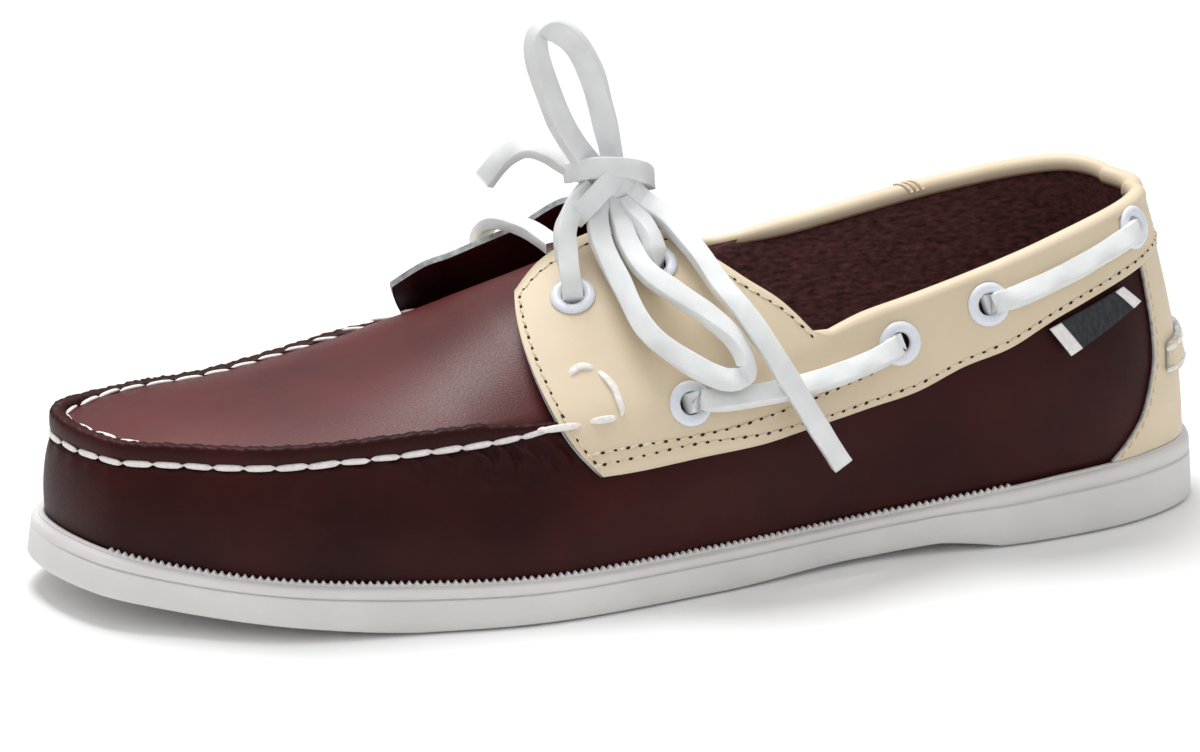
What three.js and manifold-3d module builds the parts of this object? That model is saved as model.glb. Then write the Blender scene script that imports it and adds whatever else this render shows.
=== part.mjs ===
// Boat shoe for the left foot: moulded outsole, hollow moccasin upper, tongue, insole, padded collar with
// two eyestays, heel counter, heel tab, side tab, eyelets and a square-cut leather lace.
// Millimetres. +X runs from heel to toe, +Y to the outer (lateral) side, +Z up.
import * as THREE from 'three';
import { mergeVertices } from 'three/addons/utils/BufferGeometryUtils.js';
import Module from 'manifold-3d';

const wasm = await Module();
wasm.setup();

// Driving dimensions
const wallThickness = 2.0;      // leather and lining together
const overlayThickness = 1.4;   // collar, eyestays and counter
const gap = 0.3;                // left between pieces that touch
const overlayGap = 0.55;        // the same on curved leather, where facets of two pieces differ
const soleLedge = 4.3;          // outline of the outsole to the foot of the upper
const soleFlare = 1.3;          // the outsole is this much wider at the ground than at its rim
const soleGrooveDepth = 0.7;    // moulded line around the side of the outsole
const insoleThickness = 3.0;
const heelBreastStart = 66;     // the heel's flat ends here
const heelBreastEnd = 82;       // and the arch has lifted here
const lipHeight = 4.7;          // raised moccasin seam
const lipWidth = 3.8;
const throatStation = 5.3;      // the plug ends here
const rollRadius = 2.6;         // padded edge of the collar
const eyeletOuterRadius = 5.3;
const eyeletHoleRadius = 2.6;
const laceWidth = 4.4;
const laceThickness = 2.2;
const facetTolerance = 0.06;
const frameShift = new THREE.Vector3(-146, -1.5, 0);   // heel of the outline to the middle of the shoe

// Outline of the outsole at the ground: distance from the heel, reach to the lateral and medial side,
// height of the bottom and of the top face. The first row is the heel, the last one the toe.
const soleRows = [
  { x: 0, lateral: -1, medial: -1, bottom: 0, top: 15.3 },
  { x: 6, lateral: 18, medial: -20, bottom: 0, top: 15.5 },
  { x: 24, lateral: 30, medial: -31.5, bottom: 0, top: 15.3 },
  { x: 55, lateral: 37, medial: -33, bottom: 0, top: 14 },
  { x: 100, lateral: 37.5, medial: -29, bottom: 1.1, top: 9.8 },
  { x: 140, lateral: 46, medial: -35, bottom: 0, top: 9.4 },
  { x: 185, lateral: 53, medial: -48, bottom: 0, top: 9.3 },
  { x: 215, lateral: 50.5, medial: -50, bottom: 0, top: 10.2 },
  { x: 245, lateral: 45.5, medial: -47, bottom: 3, top: 12.3 },
  { x: 267, lateral: 34, medial: -41, bottom: 5, top: 14 },
  { x: 283, lateral: 21.5, medial: -24, bottom: 6.8, top: 16.3 },
  { x: 292, lateral: -6.5, medial: -6.5, bottom: 7.3, top: 17 },
];

// The upper over the same stations. Rim is the topline behind the throat and the moccasin seam before it.
// Lean is how far the rim stands in from the foot of the wall, belly how far the wall swells between them,
// crown the ridge of the instep and plug.
const upperRows = [
  { leanLat: 12.2, rimLat: 75.2, bellyLat: 1.8, leanMed: 12.2, rimMed: 75.2, bellyMed: 1.8,
    crownY: -1, crown: 75.2 },
  { leanLat: 13.4, rimLat: 75.4, bellyLat: 2.6, leanMed: 13.2, rimMed: 76, bellyMed: 2.8,
    crownY: -1, crown: 77 },
  { leanLat: 6.5, rimLat: 75.5, bellyLat: 3.2, leanMed: 6, rimMed: 76.2, bellyMed: 3.2,
    crownY: -1, crown: 81 },
  { leanLat: 3.2, rimLat: 68.8, bellyLat: 2.4, leanMed: 0.5, rimMed: 71.6, bellyMed: 2,
    crownY: -1, crown: 83 },
  { leanLat: 2.4, rimLat: 56, bellyLat: 2, leanMed: -4.7, rimMed: 62.8, bellyMed: 0.5,
    crownY: -1, crown: 84 },
  { leanLat: 4.5, rimLat: 48.5, bellyLat: 3, leanMed: -1, rimMed: 56, bellyMed: 2,
    crownY: -2, crown: 76 },
  { leanLat: 8, rimLat: 41, bellyLat: 3, leanMed: 8, rimMed: 48, bellyMed: 3,
    crownY: -3, crown: 60 },
  { leanLat: 5.5, rimLat: 39, bellyLat: 2.5, leanMed: 6.5, rimMed: 40, bellyMed: 3,
    crownY: -2, crown: 48 },
  { leanLat: 3, rimLat: 38, bellyLat: 2, leanMed: 10.5, rimMed: 36.8, bellyMed: 3.5,
    crownY: 0, crown: 43.5 },
  { leanLat: 3, rimLat: 37, bellyLat: 1.8, leanMed: 10, rimMed: 36.5, bellyMed: 3,
    crownY: 0, crown: 40.5 },
  { leanLat: 2.5, rimLat: 36.3, bellyLat: 1.2, leanMed: 4.5, rimMed: 36.3, bellyMed: 2,
    crownY: -2, crown: 38.8 },
  { leanLat: 1.6, rimLat: 36.3, bellyLat: 0.8, leanMed: 1.6, rimMed: 36.3, bellyMed: 0.8,
    crownY: -6.5, crown: 36.6 },
];

const toe = soleRows.length - 1;
const ringLength = 2 * toe;

// ---- curves through the rows ----

function hermite(a, b, c, d, t) {
  return 0.5 * (2 * b + (c - a) * t + (2 * a - 5 * b + 4 * c - d) * t * t + (3 * b - a - 3 * c + d) * t ** 3);
}

// Value of a pair of columns at ring place u: 0 is the heel, 0 to toe the lateral side, then back.
function aroundRing(rows, lateral, medial, u) {
  const at = (k) => {
    const place = ((k % ringLength) + ringLength) % ringLength;
    return place <= toe ? rows[place][lateral] : rows[ringLength - place][medial];
  };
  const k = Math.floor(u);
  return hermite(at(k - 1), at(k), at(k + 1), at(k + 2), u - k);
}

function alongRows(rows, column, i) {
  const at = (k) => rows[Math.min(Math.max(k, 0), toe)][column];
  const k = Math.min(Math.floor(i), toe - 1);
  return hermite(at(k - 1), at(k), at(k + 1), at(k + 2), i - k);
}

const outlinePoints = [];
for (let k = 0; k < ringLength; k += 1) {
  const row = k <= toe ? soleRows[k] : soleRows[ringLength - k];
  outlinePoints.push(new THREE.Vector3(row.x, k <= toe ? row.lateral : row.medial, 0));
}
const outlineCurve = new THREE.CatmullRomCurve3(outlinePoints, true, 'centripetal');

function outline(u) {
  const place = (((u % ringLength) + ringLength) % ringLength) / ringLength;
  return outlineCurve.getPoint(place);
}

// Horizontal direction out of the outline.
function outward(u) {
  const before = outline(u - 0.02);
  const after = outline(u + 0.02);
  return new THREE.Vector3(before.y - after.y, after.x - before.x, 0).normalize();
}

// ---- the last: wall from foot to rim, and crowned top from rim to rim ----

function footPoint(u) {
  const point = outline(u).addScaledVector(outward(u), -soleLedge);
  point.z = aroundRing(soleRows, 'top', 'top', u) + gap;
  return point;
}

function rimPoint(u) {
  const lean = aroundRing(upperRows, 'leanLat', 'leanMed', u);
  const point = outline(u).addScaledVector(outward(u), -soleLedge - lean);
  point.z = aroundRing(upperRows, 'rimLat', 'rimMed', u);
  return point;
}

function wallPoint(u, v) {
  const belly = aroundRing(upperRows, 'bellyLat', 'bellyMed', u) * 4 * v * (1 - v);
  return footPoint(u).lerp(rimPoint(u), v).addScaledVector(outward(u), belly);
}

function crownPoint(i) {
  const x = (rimPoint(i).x + rimPoint(ringLength - i).x) / 2;
  return new THREE.Vector3(x, alongRows(upperRows, 'crownY', i), alongRows(upperRows, 'crown', i));
}

function topPoint(side, i, t) {
  const rim = rimPoint(side > 0 ? i : ringLength - i);
  const crown = crownPoint(i);
  const rise = (crown.z - rim.z) * (1 - (1 - t) ** 2);
  return new THREE.Vector3(rim.x + (crown.x - rim.x) * t, rim.y + (crown.y - rim.y) * t, rim.z + rise);
}

function wallNormal(u, v) {
  const rim = rimPoint(u);
  const foot = footPoint(u);
  const lean = aroundRing(upperRows, 'leanLat', 'leanMed', u);
  const belly = aroundRing(upperRows, 'bellyLat', 'bellyMed', u);
  const run = -lean + belly * 4 * (1 - 2 * v);
  const normal = outward(u).multiplyScalar(rim.z - foot.z);
  normal.z = -run;
  return normal.normalize();
}

function topNormal(side, i, t) {
  const low = Math.max(i - 0.1, 0);
  const high = Math.min(i + 0.1, toe);
  const along = topPoint(side, high, t).sub(topPoint(side, low, t));
  const across = topPoint(side, i, Math.min(t + 0.02, 1)).sub(topPoint(side, i, Math.max(t - 0.02, 0)));
  const normal = along.cross(across).multiplyScalar(-side);
  if (normal.length() < 1e-6) return new THREE.Vector3(0, 0, 1);
  return normal.normalize();
}

// Point of the last: q runs from the foot (0) over the rim (0.5) to the crown (1); grow moves it outwards.
function lastPoint(side, i, q, grow) {
  const u = side > 0 ? i : ringLength - i;
  if (q < 0.5) {
    return wallPoint(u, q * 2).addScaledVector(wallNormal(u, q * 2), grow);
  }
  const t = q * 2 - 1;
  const normal = topNormal(side, i, t);
  const point = topPoint(side, i, t);
  if (t > 0.12) return point.addScaledVector(normal, grow);
  // mitre across the rim
  const wall = wallNormal(u, 1);
  const mixed = wall.clone().lerp(normal, 0.5 + 4.16 * t).normalize();
  const stretch = t === 0 ? 1 / Math.max(mixed.dot(wall), 0.5) : 1;
  return point.addScaledVector(mixed, grow * stretch);
}

// ---- solids ----

function solidFrom(positions, indices) {
  let geometry = new THREE.BufferGeometry();
  geometry.setAttribute('position', new THREE.BufferAttribute(new Float32Array(positions), 3));
  geometry.setIndex(indices);
  geometry = mergeVertices(geometry, 1e-4);
  return manifoldOf(geometry);
}

function manifoldOf(source) {
  let geometry = source.clone();
  geometry.deleteAttribute('normal');
  geometry.deleteAttribute('uv');
  geometry = mergeVertices(geometry, 1e-4);
  const index = geometry.index.array;
  const kept = [];
  for (let k = 0; k < index.length; k += 3) {
    const [a, b, c] = [index[k], index[k + 1], index[k + 2]];
    if (a !== b && b !== c && c !== a) kept.push(a, b, c);
  }
  const mesh = new wasm.Mesh({
    numProp: 3,
    vertProperties: new Float32Array(geometry.attributes.position.array),
    triVerts: new Uint32Array(kept),
  });
  mesh.merge();
  return new wasm.Manifold(mesh);
}

function geometryOf(manifold) {
  const mesh = manifold.getMesh();
  const geometry = new THREE.BufferGeometry();
  geometry.setAttribute('position', new THREE.BufferAttribute(new Float32Array(mesh.vertProperties), 3));
  geometry.setIndex(Array.from(mesh.triVerts));
  geometry.computeVertexNormals();
  return geometry;
}

// Closed body through rings of points: every ring is closed, and so are the two ends.
function loft(rings, capEnds) {
  const size = rings[0].length;
  const positions = [];
  const indices = [];
  rings.forEach((ring) => ring.forEach((point) => positions.push(point.x, point.y, point.z)));
  for (let r = 0; r + 1 < rings.length; r += 1) {
    for (let k = 0; k < size; k += 1) {
      const next = (k + 1) % size;
      const [a, b, c, d] = [r * size + k, r * size + next, (r + 1) * size + next, (r + 1) * size + k];
      indices.push(a, b, c, a, c, d);
    }
  }
  if (capEnds) {
    const last = (rings.length - 1) * size;
    const cap = (a, b, c) => indices.push(a, c, b, last + a, last + b, last + c);
    for (let low = 0, high = size - 1; low + 1 < high; low += 1, high -= 1) {
      cap(low, low + 1, high);
      if (low + 1 < high - 1) cap(low + 1, high - 1, high);
    }
  }
  const solid = solidFrom(positions, indices);
  if (solid.volume() >= 0) return solid;
  const turned = [];
  for (let k = 0; k < indices.length; k += 3) turned.push(indices[k], indices[k + 2], indices[k + 1]);
  return solidFrom(positions, turned);
}

// Sheet of leather over the last: rows of points from one edge to the other, given as a function of
// column and row that returns inner and outer point.
function sheet(columns, rows, place) {
  const rings = [];
  for (let c = 0; c <= columns; c += 1) {
    const outer = [];
    const inner = [];
    for (let r = 0; r <= rows; r += 1) {
      const pair = place(c / columns, r / rows);
      outer.push(pair.outer);
      inner.unshift(pair.inner);
    }
    rings.push([...outer, ...inner]);
  }
  return loft(rings, true);
}

// Lateral and medial half of a section; at the heel and the toe both are the same line.
function bothSides(i, half) {
  const lateral = half(1, i);
  const medial = i === 0 || i === toe ? lateral.map((point) => point.clone()) : half(-1, ringLength - i);
  return [...lateral, ...medial.reverse()];
}

function steps(from, to, count) {
  const values = [];
  for (let k = 0; k <= count; k += 1) values.push(from + (to - from) * k / count);
  return values;
}

// ---- outsole and insole ----

function soleBottom(x, u) {
  if (x <= heelBreastStart) return 0;
  const arch = aroundRing(soleRows, 'bottom', 'bottom', u);
  if (x >= 100) return Math.max(arch, 0);
  const lift = 2.2 - (x - heelBreastEnd) * 0.06;
  return lift * Math.min((x - heelBreastStart) / (heelBreastEnd - heelBreastStart), 1);
}

// Side of the outsole: height as a part of the whole, and how far it stands in from the outline.
const soleProfile = [
  { part: 0, inset: 0.6 },
  { part: 0.06, inset: 0 },
  { part: 0.7, inset: soleFlare * 0.7 },
  { part: 0.745, inset: soleFlare * 0.7 + soleGrooveDepth },
  { part: 0.79, inset: soleFlare * 0.75 },
  { part: 0.94, inset: soleFlare },
  { part: 1, inset: soleFlare + 0.5 },
];

function soleSide(u) {
  const base = outline(u);
  const bottom = soleBottom(base.x, u);
  const top = aroundRing(soleRows, 'top', 'top', u);
  return soleProfile.map((row) => {
    const point = base.clone().addScaledVector(outward(u), -row.inset);
    point.z = bottom + (top - bottom) * row.part;
    return point;
  });
}

function soleStations() {
  const breast = [3.246, 3.62];
  const even = steps(0, toe, toe * 4).filter((i) => Math.abs(i - 3.25) > 0.02);
  return [...even, ...breast].sort((a, b) => a - b);
}

function makeOutsole() {
  const rings = soleStations().map((i) => bothSides(i, (side, u) => soleSide(u)));
  return loft(rings, false).simplify(facetTolerance);
}

function makeInsole() {
  const inset = soleLedge + wallThickness + 3 * gap;
  const edge = (side, u) => [0, insoleThickness].map((height) => {
    const point = outline(u).addScaledVector(outward(u), -inset);
    point.z = aroundRing(soleRows, 'top', 'top', u) + gap + height;
    return point;
  });
  return loft(steps(0, toe, toe * 4).map((i) => bothSides(i, edge)), false).simplify(facetTolerance);
}

// ---- upper ----

const wallSteps = [0, 0.08, 0.2, 0.33, 0.44];
const topSteps = [0.5, 0.57, 0.66, 0.78, 0.9];

// One closed section of the last. An open section is cut off level at its rim, raised by rise.
function lastSection(i, grow, open, rise, drop) {
  const half = (side, u) => {
    const points = wallSteps.map((q) => lastPoint(side, i, q, grow));
    points[0].z -= drop;
    if (!open) return [...points, ...topSteps.map((q) => lastPoint(side, i, q, grow))];
    const rim = rimPoint(u).addScaledVector(outward(u), grow);
    topSteps.forEach((q, k) => {
      const level = rim.clone();
      level.z += rise * k / (topSteps.length - 1);
      points.push(level);
    });
    return points;
  };
  const points = bothSides(i, half);
  const middle = points.length / 2;
  const crown = open ? points[middle - 1].clone().lerp(points[middle], 0.5) : lastPoint(1, i, 1, grow);
  return [...points.slice(0, middle), crown, ...points.slice(middle)];
}

function lastSolid(grow, throat, rise, drop, fineness) {
  const stations = steps(0, toe, toe * fineness).filter((i) => Math.abs(i - throat) > 0.08);
  const open = stations.filter((i) => i < throat);
  const shut = stations.filter((i) => i > throat);
  return loft([
    ...open.map((i) => lastSection(i, grow, true, rise, drop)),
    lastSection(throat, grow, true, rise, drop),
    lastSection(throat + 0.01, grow, false, rise, drop),
    ...shut.map((i) => lastSection(i, grow, false, rise, drop)),
  ], false);
}

// Raised edge of the moccasin seam, from under one eyestay around the toe to under the other.
const lipProfile = [
  { out: 0, up: -1.2, faces: 1 },
  { out: 0.1, up: 0, faces: 1 },
  { out: -0.5, up: 0.88, faces: 1 },
  { out: -1.4, up: 1, faces: 0 },
  { out: -3, up: 0.97, faces: -1 },
  { out: -lipWidth, up: 0.8, faces: -1 },
  { out: -lipWidth, up: -1.2, faces: -1 },
];

function lipHeightAt(u, start, end) {
  const ends = Math.min(u - start, end - u);
  return lipHeight * Math.min(0.25 + ends * 1.1, 1);
}

function makeLip(grow) {
  const start = 5.8;
  const end = ringLength - 6.12;
  const rings = steps(start, end, 34).map((u) => {
    const height = lipHeightAt(u, start, end);
    return lipProfile.map((row) => {
      const point = rimPoint(u).addScaledVector(outward(u), row.out + row.faces * grow);
      point.z += row.up > 0 ? row.up * height + grow : row.up;
      return point;
    });
  });
  return loft(rings, true);
}

function makeUpper() {
  const outer = lastSolid(0, throatStation, 0, 0, 3);
  const inner = lastSolid(-wallThickness, throatStation - 0.05, 16, 4, 2);
  return outer.add(makeLip(0)).subtract(inner).simplify(facetTolerance);
}

// The room the upper needs around itself under the eyestays.
function upperRoom() {
  const outer = lastSolid(gap, throatStation, 0, 0, 3);
  const inner = lastSolid(-wallThickness - gap, throatStation - 0.05, 16, 4, 2);
  const room = outer.add(outer.translate([0, 0, gap])).add(makeLip(gap)).subtract(inner);
  return room.trimByPlane([1, 0, 0], 104);
}

// ---- tongue, under the rear edge of the plug ----

function makeTongue() {
  const from = 4.95;
  const to = 5.75;
  const spread = 0.46;
  const depth = wallThickness + 3 * gap;
  return sheet(9, 8, (a, b) => {
    const i = from + (to - from) * a;
    const side = b < 0.5 ? 1 : -1;
    const reach = spread * Math.abs(1 - 2 * b);
    const t = 1 - reach * (0.75 + 0.25 * a);
    return {
      outer: topPoint(side, i, t).addScaledVector(topNormal(side, i, t), -depth),
      inner: topPoint(side, i, t).addScaledVector(topNormal(side, i, t), -depth - 2.2),
    };
  });
}

// ---- collar with its two eyestays ----

// From the front of an eyestay to the heel: lower edge and upper edge as a station and a place on the last,
// how far the upper edge stands off the last, how far the line between them bows forwards, and how much
// of the padded roll there is.
const lateralCollar = [
  { lowStation: 5.66, lowPlace: 0.32, topStation: 5.8, topPlace: 0.87, lift: 2.5, bow: 0.16, roll: 0 },
  { lowStation: 5.53, lowPlace: 0.313, topStation: 5.62, topPlace: 0.92, lift: 4, bow: 0.1, roll: 0 },
  { lowStation: 5.39, lowPlace: 0.308, topStation: 5.42, topPlace: 0.94, lift: 4.5, bow: 0.04, roll: 0 },
  { lowStation: 5.24, lowPlace: 0.305, topStation: 5.22, topPlace: 0.93, lift: 4, bow: 0, roll: 0 },
  { lowStation: 5.08, lowPlace: 0.301, topStation: 5.06, topPlace: 0.87, lift: 3, bow: 0, roll: 0 },
  { lowStation: 4.9, lowPlace: 0.296, topStation: 4.9, topPlace: 0.77, lift: 2.5, bow: 0, roll: 0 },
  { lowStation: 4.71, lowPlace: 0.291, topStation: 4.7, topPlace: 0.67, lift: 2, bow: 0, roll: 0 },
  { lowStation: 4.5, lowPlace: 0.294, topStation: 4.5, topPlace: 0.597, lift: 1.2, bow: 0, roll: 0 },
  { lowStation: 4.34, lowPlace: 0.296, topStation: 4.34, topPlace: 0.527, lift: 0.4, bow: 0, roll: 0.1 },
];
const medialCollar = [
  { lowStation: 5.85, lowPlace: 0.318, topStation: 6.28, topPlace: 0.6, lift: 7, bow: 0.1, roll: 0 },
  { lowStation: 5.7, lowPlace: 0.312, topStation: 6.06, topPlace: 0.68, lift: 8, bow: 0.05, roll: 0 },
  { lowStation: 5.52, lowPlace: 0.307, topStation: 5.86, topPlace: 0.66, lift: 8, bow: 0, roll: 0 },
  { lowStation: 5.36, lowPlace: 0.304, topStation: 5.66, topPlace: 0.64, lift: 9, bow: 0, roll: 0 },
  { lowStation: 5.2, lowPlace: 0.301, topStation: 5.46, topPlace: 0.65, lift: 10, bow: 0, roll: 0 },
  { lowStation: 5.05, lowPlace: 0.299, topStation: 5.24, topPlace: 0.71, lift: 11, bow: 0, roll: 0 },
  { lowStation: 4.9, lowPlace: 0.296, topStation: 5, topPlace: 0.68, lift: 6, bow: 0, roll: 0 },
  { lowStation: 4.71, lowPlace: 0.291, topStation: 4.74, topPlace: 0.6, lift: 3, bow: 0, roll: 0.05 },
  { lowStation: 4.5, lowPlace: 0.294, topStation: 4.5, topPlace: 0.53, lift: 0.5, bow: 0, roll: 0.4 },
  { lowStation: 4.34, lowPlace: 0.296, topStation: 4.34, topPlace: 0.505, lift: 0.1, bow: 0, roll: 0.6 },
];
const toplineCollar = [
  { lowStation: 4.22, lowPlace: 0.297, topStation: 4.22, topPlace: 0.5, lift: 0, bow: 0, roll: 0.7 },
  { lowStation: 4, lowPlace: 0.3, topStation: 4, topPlace: 0.5, lift: 0, bow: 0, roll: 1 },
  { lowStation: 3.75, lowPlace: 0.304, topStation: 3.75, topPlace: 0.5, lift: 0, bow: 0, roll: 1 },
  { lowStation: 3.5, lowPlace: 0.327, topStation: 3.5, topPlace: 0.5, lift: 0, bow: 0, roll: 1 },
  { lowStation: 3.25, lowPlace: 0.335, topStation: 3.25, topPlace: 0.5, lift: 0, bow: 0, roll: 1 },
  { lowStation: 3, lowPlace: 0.359, topStation: 3, topPlace: 0.5, lift: 0, bow: 0, roll: 1 },
  { lowStation: 2.75, lowPlace: 0.372, topStation: 2.75, topPlace: 0.5, lift: 0, bow: 0, roll: 1 },
  { lowStation: 2.5, lowPlace: 0.381, topStation: 2.5, topPlace: 0.5, lift: 0, bow: 0, roll: 1 },
  { lowStation: 2.25, lowPlace: 0.388, topStation: 2.25, topPlace: 0.5, lift: 0, bow: 0, roll: 1 },
  { lowStation: 2, lowPlace: 0.396, topStation: 2, topPlace: 0.5, lift: 0, bow: 0, roll: 1 },
  { lowStation: 1.75, lowPlace: 0.401, topStation: 1.75, topPlace: 0.5, lift: 0, bow: 0, roll: 1 },
  { lowStation: 1.5, lowPlace: 0.405, topStation: 1.5, topPlace: 0.5, lift: 0, bow: 0, roll: 1 },
  { lowStation: 1, lowPlace: 0.412, topStation: 1, topPlace: 0.5, lift: 0, bow: 0, roll: 1 },
  { lowStation: 0.5, lowPlace: 0.415, topStation: 0.5, topPlace: 0.5, lift: 0, bow: 0, roll: 1 },
  { lowStation: 0, lowPlace: 0.415, topStation: 0, topPlace: 0.5, lift: 0, bow: 0, roll: 1 },
];

function mixRows(a, b, t) {
  const mixed = {};
  Object.keys(a).forEach((column) => { mixed[column] = a[column] + (b[column] - a[column]) * t; });
  return mixed;
}

function rowAt(rows, place) {
  const k = Math.min(Math.floor(place), rows.length - 2);
  return mixRows(rows[k], rows[k + 1], place - k);
}

// Point of the collar: w runs from its lower edge (0) to its upper edge (1).
function collarPoint(side, row, w, grow) {
  const i = row.lowStation + (row.topStation - row.lowStation) * w + row.bow * 4 * w * (1 - w);
  const q = row.lowPlace + (row.topPlace - row.lowPlace) * w;
  return lastPoint(side, i, q, grow + row.lift * w * w);
}

const rollCentre = overlayGap + overlayThickness - rollRadius;
const rollTurns = [10, 75, 140, 210].map((degrees) => THREE.MathUtils.degToRad(degrees));
const rollUnder = [
  { out: -wallThickness - 2 * gap, up: -1 },
  { out: -wallThickness - 2 * gap, up: 3 * gap },
  { out: overlayGap, up: 3 * gap },
];

function collarSection(side, row) {
  const inner = overlayGap;
  const outer = overlayGap + overlayThickness;
  const across = steps(0, 1, 4);
  const front = across.map((w) => collarPoint(side, row, w, outer));
  const back = across.map((w) => collarPoint(side, row, w, inner)).reverse();
  const u = side > 0 ? row.topStation : ringLength - row.topStation;
  const out = outward(u);
  const rim = rimPoint(u);
  const padded = rollTurns.map((turn) => rim.clone()
    .addScaledVector(out, rollCentre + rollRadius * Math.cos(turn))
    .add(new THREE.Vector3(0, 0, 1 + rollRadius * Math.sin(turn))));
  rollUnder.forEach((edge) => {
    const point = rim.clone().addScaledVector(out, edge.out);
    point.z += edge.up;
    padded.push(point);
  });
  const plainTop = front.at(-1).clone().add(new THREE.Vector3(0, 0, 0.01));
  const plain = padded.map((point, k) => plainTop.clone().lerp(back[0], (k + 1) / (padded.length + 1)));
  const edge = plain.map((point, k) => point.lerp(padded[k], row.roll));
  return [...front, ...edge, ...back];
}

function makeCollar() {
  const finer = (rows) => steps(0, rows.length - 1, (rows.length - 1) * 2).map((place) => rowAt(rows, place));
  const rings = [
    ...finer(lateralCollar).map((row) => collarSection(1, row)),
    ...toplineCollar.map((row) => collarSection(1, row)),
    ...toplineCollar.slice(0, -1).reverse().map((row) => collarSection(-1, row)),
    ...finer(medialCollar).reverse().map((row) => collarSection(-1, row)),
  ];
  return loft(rings, true).subtract(upperRoom()).subtract(eyeletHoles()).simplify(facetTolerance);
}

// ---- eyelets ----

// On the eyestay: row and place across it. The first two carry the tie, the third the first run of lace.
const eyestayEyelets = {
  lateral: [
    { name: 'throat_front', row: 1.5, across: 0.74 },
    { name: 'throat_rear', row: 3.5, across: 0.78 },
    { name: 'run_front', row: 3.5, across: 0.26 },
  ],
  medial: [
    { name: 'throat_front', row: 3.5, across: 0.72 },
    { name: 'throat_rear', row: 5.5, across: 0.76 },
    { name: 'run_front', row: 4.8, across: 0.4 },
  ],
};
// On the band of the collar: station and place on the last.
const bandEyelets = [
  { name: 'run_mid_front', station: 3.84, place: 0.436 },
  { name: 'run_mid_rear', station: 3.36, place: 0.451 },
  { name: 'run_rear', station: 2.07, place: 0.473 },
];
const runFront = { station: 5.15, place: 0.451 };

function faceNormal(at) {
  const along = at(0.05, 0).sub(at(-0.05, 0));
  const across = at(0, 0.02).sub(at(0, -0.02));
  return along.cross(across).normalize();
}

// Centre of each eyelet on the outer face, and the direction out of the leather.
function eyeletFrames() {
  const frames = [];
  const surface = overlayGap + overlayThickness;
  [['lateral', 1, lateralCollar], ['medial', -1, medialCollar]].forEach(([word, side, rows]) => {
    eyestayEyelets[word].forEach(({ name, row, across }) => {
      const at = (da, dw) => collarPoint(side, rowAt(rows, row + da), across + dw, surface);
      frames.push({ name: `${word}_${name}`, centre: at(0, 0), normal: faceNormal(at) });
    });
    bandEyelets.forEach(({ name, station, place }) => {
      const at = (da, dw) => lastPoint(side, station + da, place + dw, surface);
      frames.push({ name: `${word}_${name}`, centre: at(0, 0), normal: faceNormal(at) });
    });
  });
  const heart = new THREE.Vector3(140, 0, 30);
  frames.forEach((frame) => {
    if (frame.centre.clone().sub(heart).dot(frame.normal) < 0) frame.normal.negate();
  });
  return frames;
}

function turnedTo(geometry, frame, shift) {
  const turn = new THREE.Quaternion().setFromUnitVectors(new THREE.Vector3(0, 1, 0), frame.normal);
  const centre = frame.centre.clone().addScaledVector(frame.normal, shift);
  return geometry.applyQuaternion(turn).translate(centre.x, centre.y, centre.z);
}

function eyeletHoles() {
  const drills = eyeletFrames().map((frame) => {
    const drill = new THREE.CylinderGeometry(eyeletHoleRadius, eyeletHoleRadius, 6, 10);
    return manifoldOf(turnedTo(drill, frame, 0));
  });
  return drills.reduce((all, drill) => all.add(drill));
}

function makeEyelet(frame) {
  const profile = [
    new THREE.Vector2(eyeletHoleRadius, 0),
    new THREE.Vector2(eyeletOuterRadius, 0),
    new THREE.Vector2(eyeletOuterRadius - 0.5, 0.8),
    new THREE.Vector2(eyeletHoleRadius + 0.5, 1),
    new THREE.Vector2(eyeletHoleRadius, 0),
  ];
  return turnedTo(new THREE.LatheGeometry(profile, 10), frame, 2 * gap);
}

// ---- heel counter, heel tab and side tab ----

// Front edge of the heel counter: place up the last and station.
const counterEdge = [
  { place: 0.004, station: 2.33 },
  { place: 0.042, station: 2.16 },
  { place: 0.089, station: 2 },
  { place: 0.147, station: 1.9 },
  { place: 0.196, station: 1.84 },
  { place: 0.263, station: 1.86 },
  { place: 0.314, station: 1.91 },
  { place: 0.386, station: 1.98 },
];

// Station from -1 (medial edge) to 1 (lateral edge) over the heel.
function overHeel(reach, station, q, grow) {
  const signed = reach * station;
  return lastPoint(signed >= 0 ? 1 : -1, Math.abs(signed), q, grow);
}

function makeHeelCounter() {
  const inner = lastSolid(overlayGap, throatStation, 0, 0, 3);
  const outer = lastSolid(overlayGap + overlayThickness, throatStation, 0, 0, 3);
  const region = sheet(7, 16, (a, b) => {
    const edge = rowAt(counterEdge, a * (counterEdge.length - 1));
    const reach = 2 * b - 1;
    const q = edge.place + a * 0.02 * (1 - reach * reach);
    return {
      outer: overHeel(reach, edge.station, q, 5),
      inner: overHeel(reach, edge.station, q, -4),
    };
  });
  return outer.subtract(inner).intersect(region).simplify(facetTolerance);
}

function makeHeelTab() {
  const low = overlayGap + overlayThickness + overlayGap;
  return sheet(12, 3, (a, b) => {
    const q = 0.156 + 0.063 * b;
    return {
      outer: overHeel(2 * a - 1, 1.6, q, low + 1.6),
      inner: overHeel(2 * a - 1, 1.6, q, low),
    };
  });
}

function makeSideTab() {
  return sheet(5, 3, (a, b) => {
    const i = 2.98 - 0.7 * a - 0.15 * (1 - b);
    const q = 0.276 + 0.057 * a + (0.07 - 0.031 * a) * b;
    const lift = overlayGap + 1.5 * (1 - b);
    return { outer: lastPoint(1, i, q, lift + 1.2), inner: lastPoint(1, i, q, lift) };
  });
}

// ---- lace ----

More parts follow.
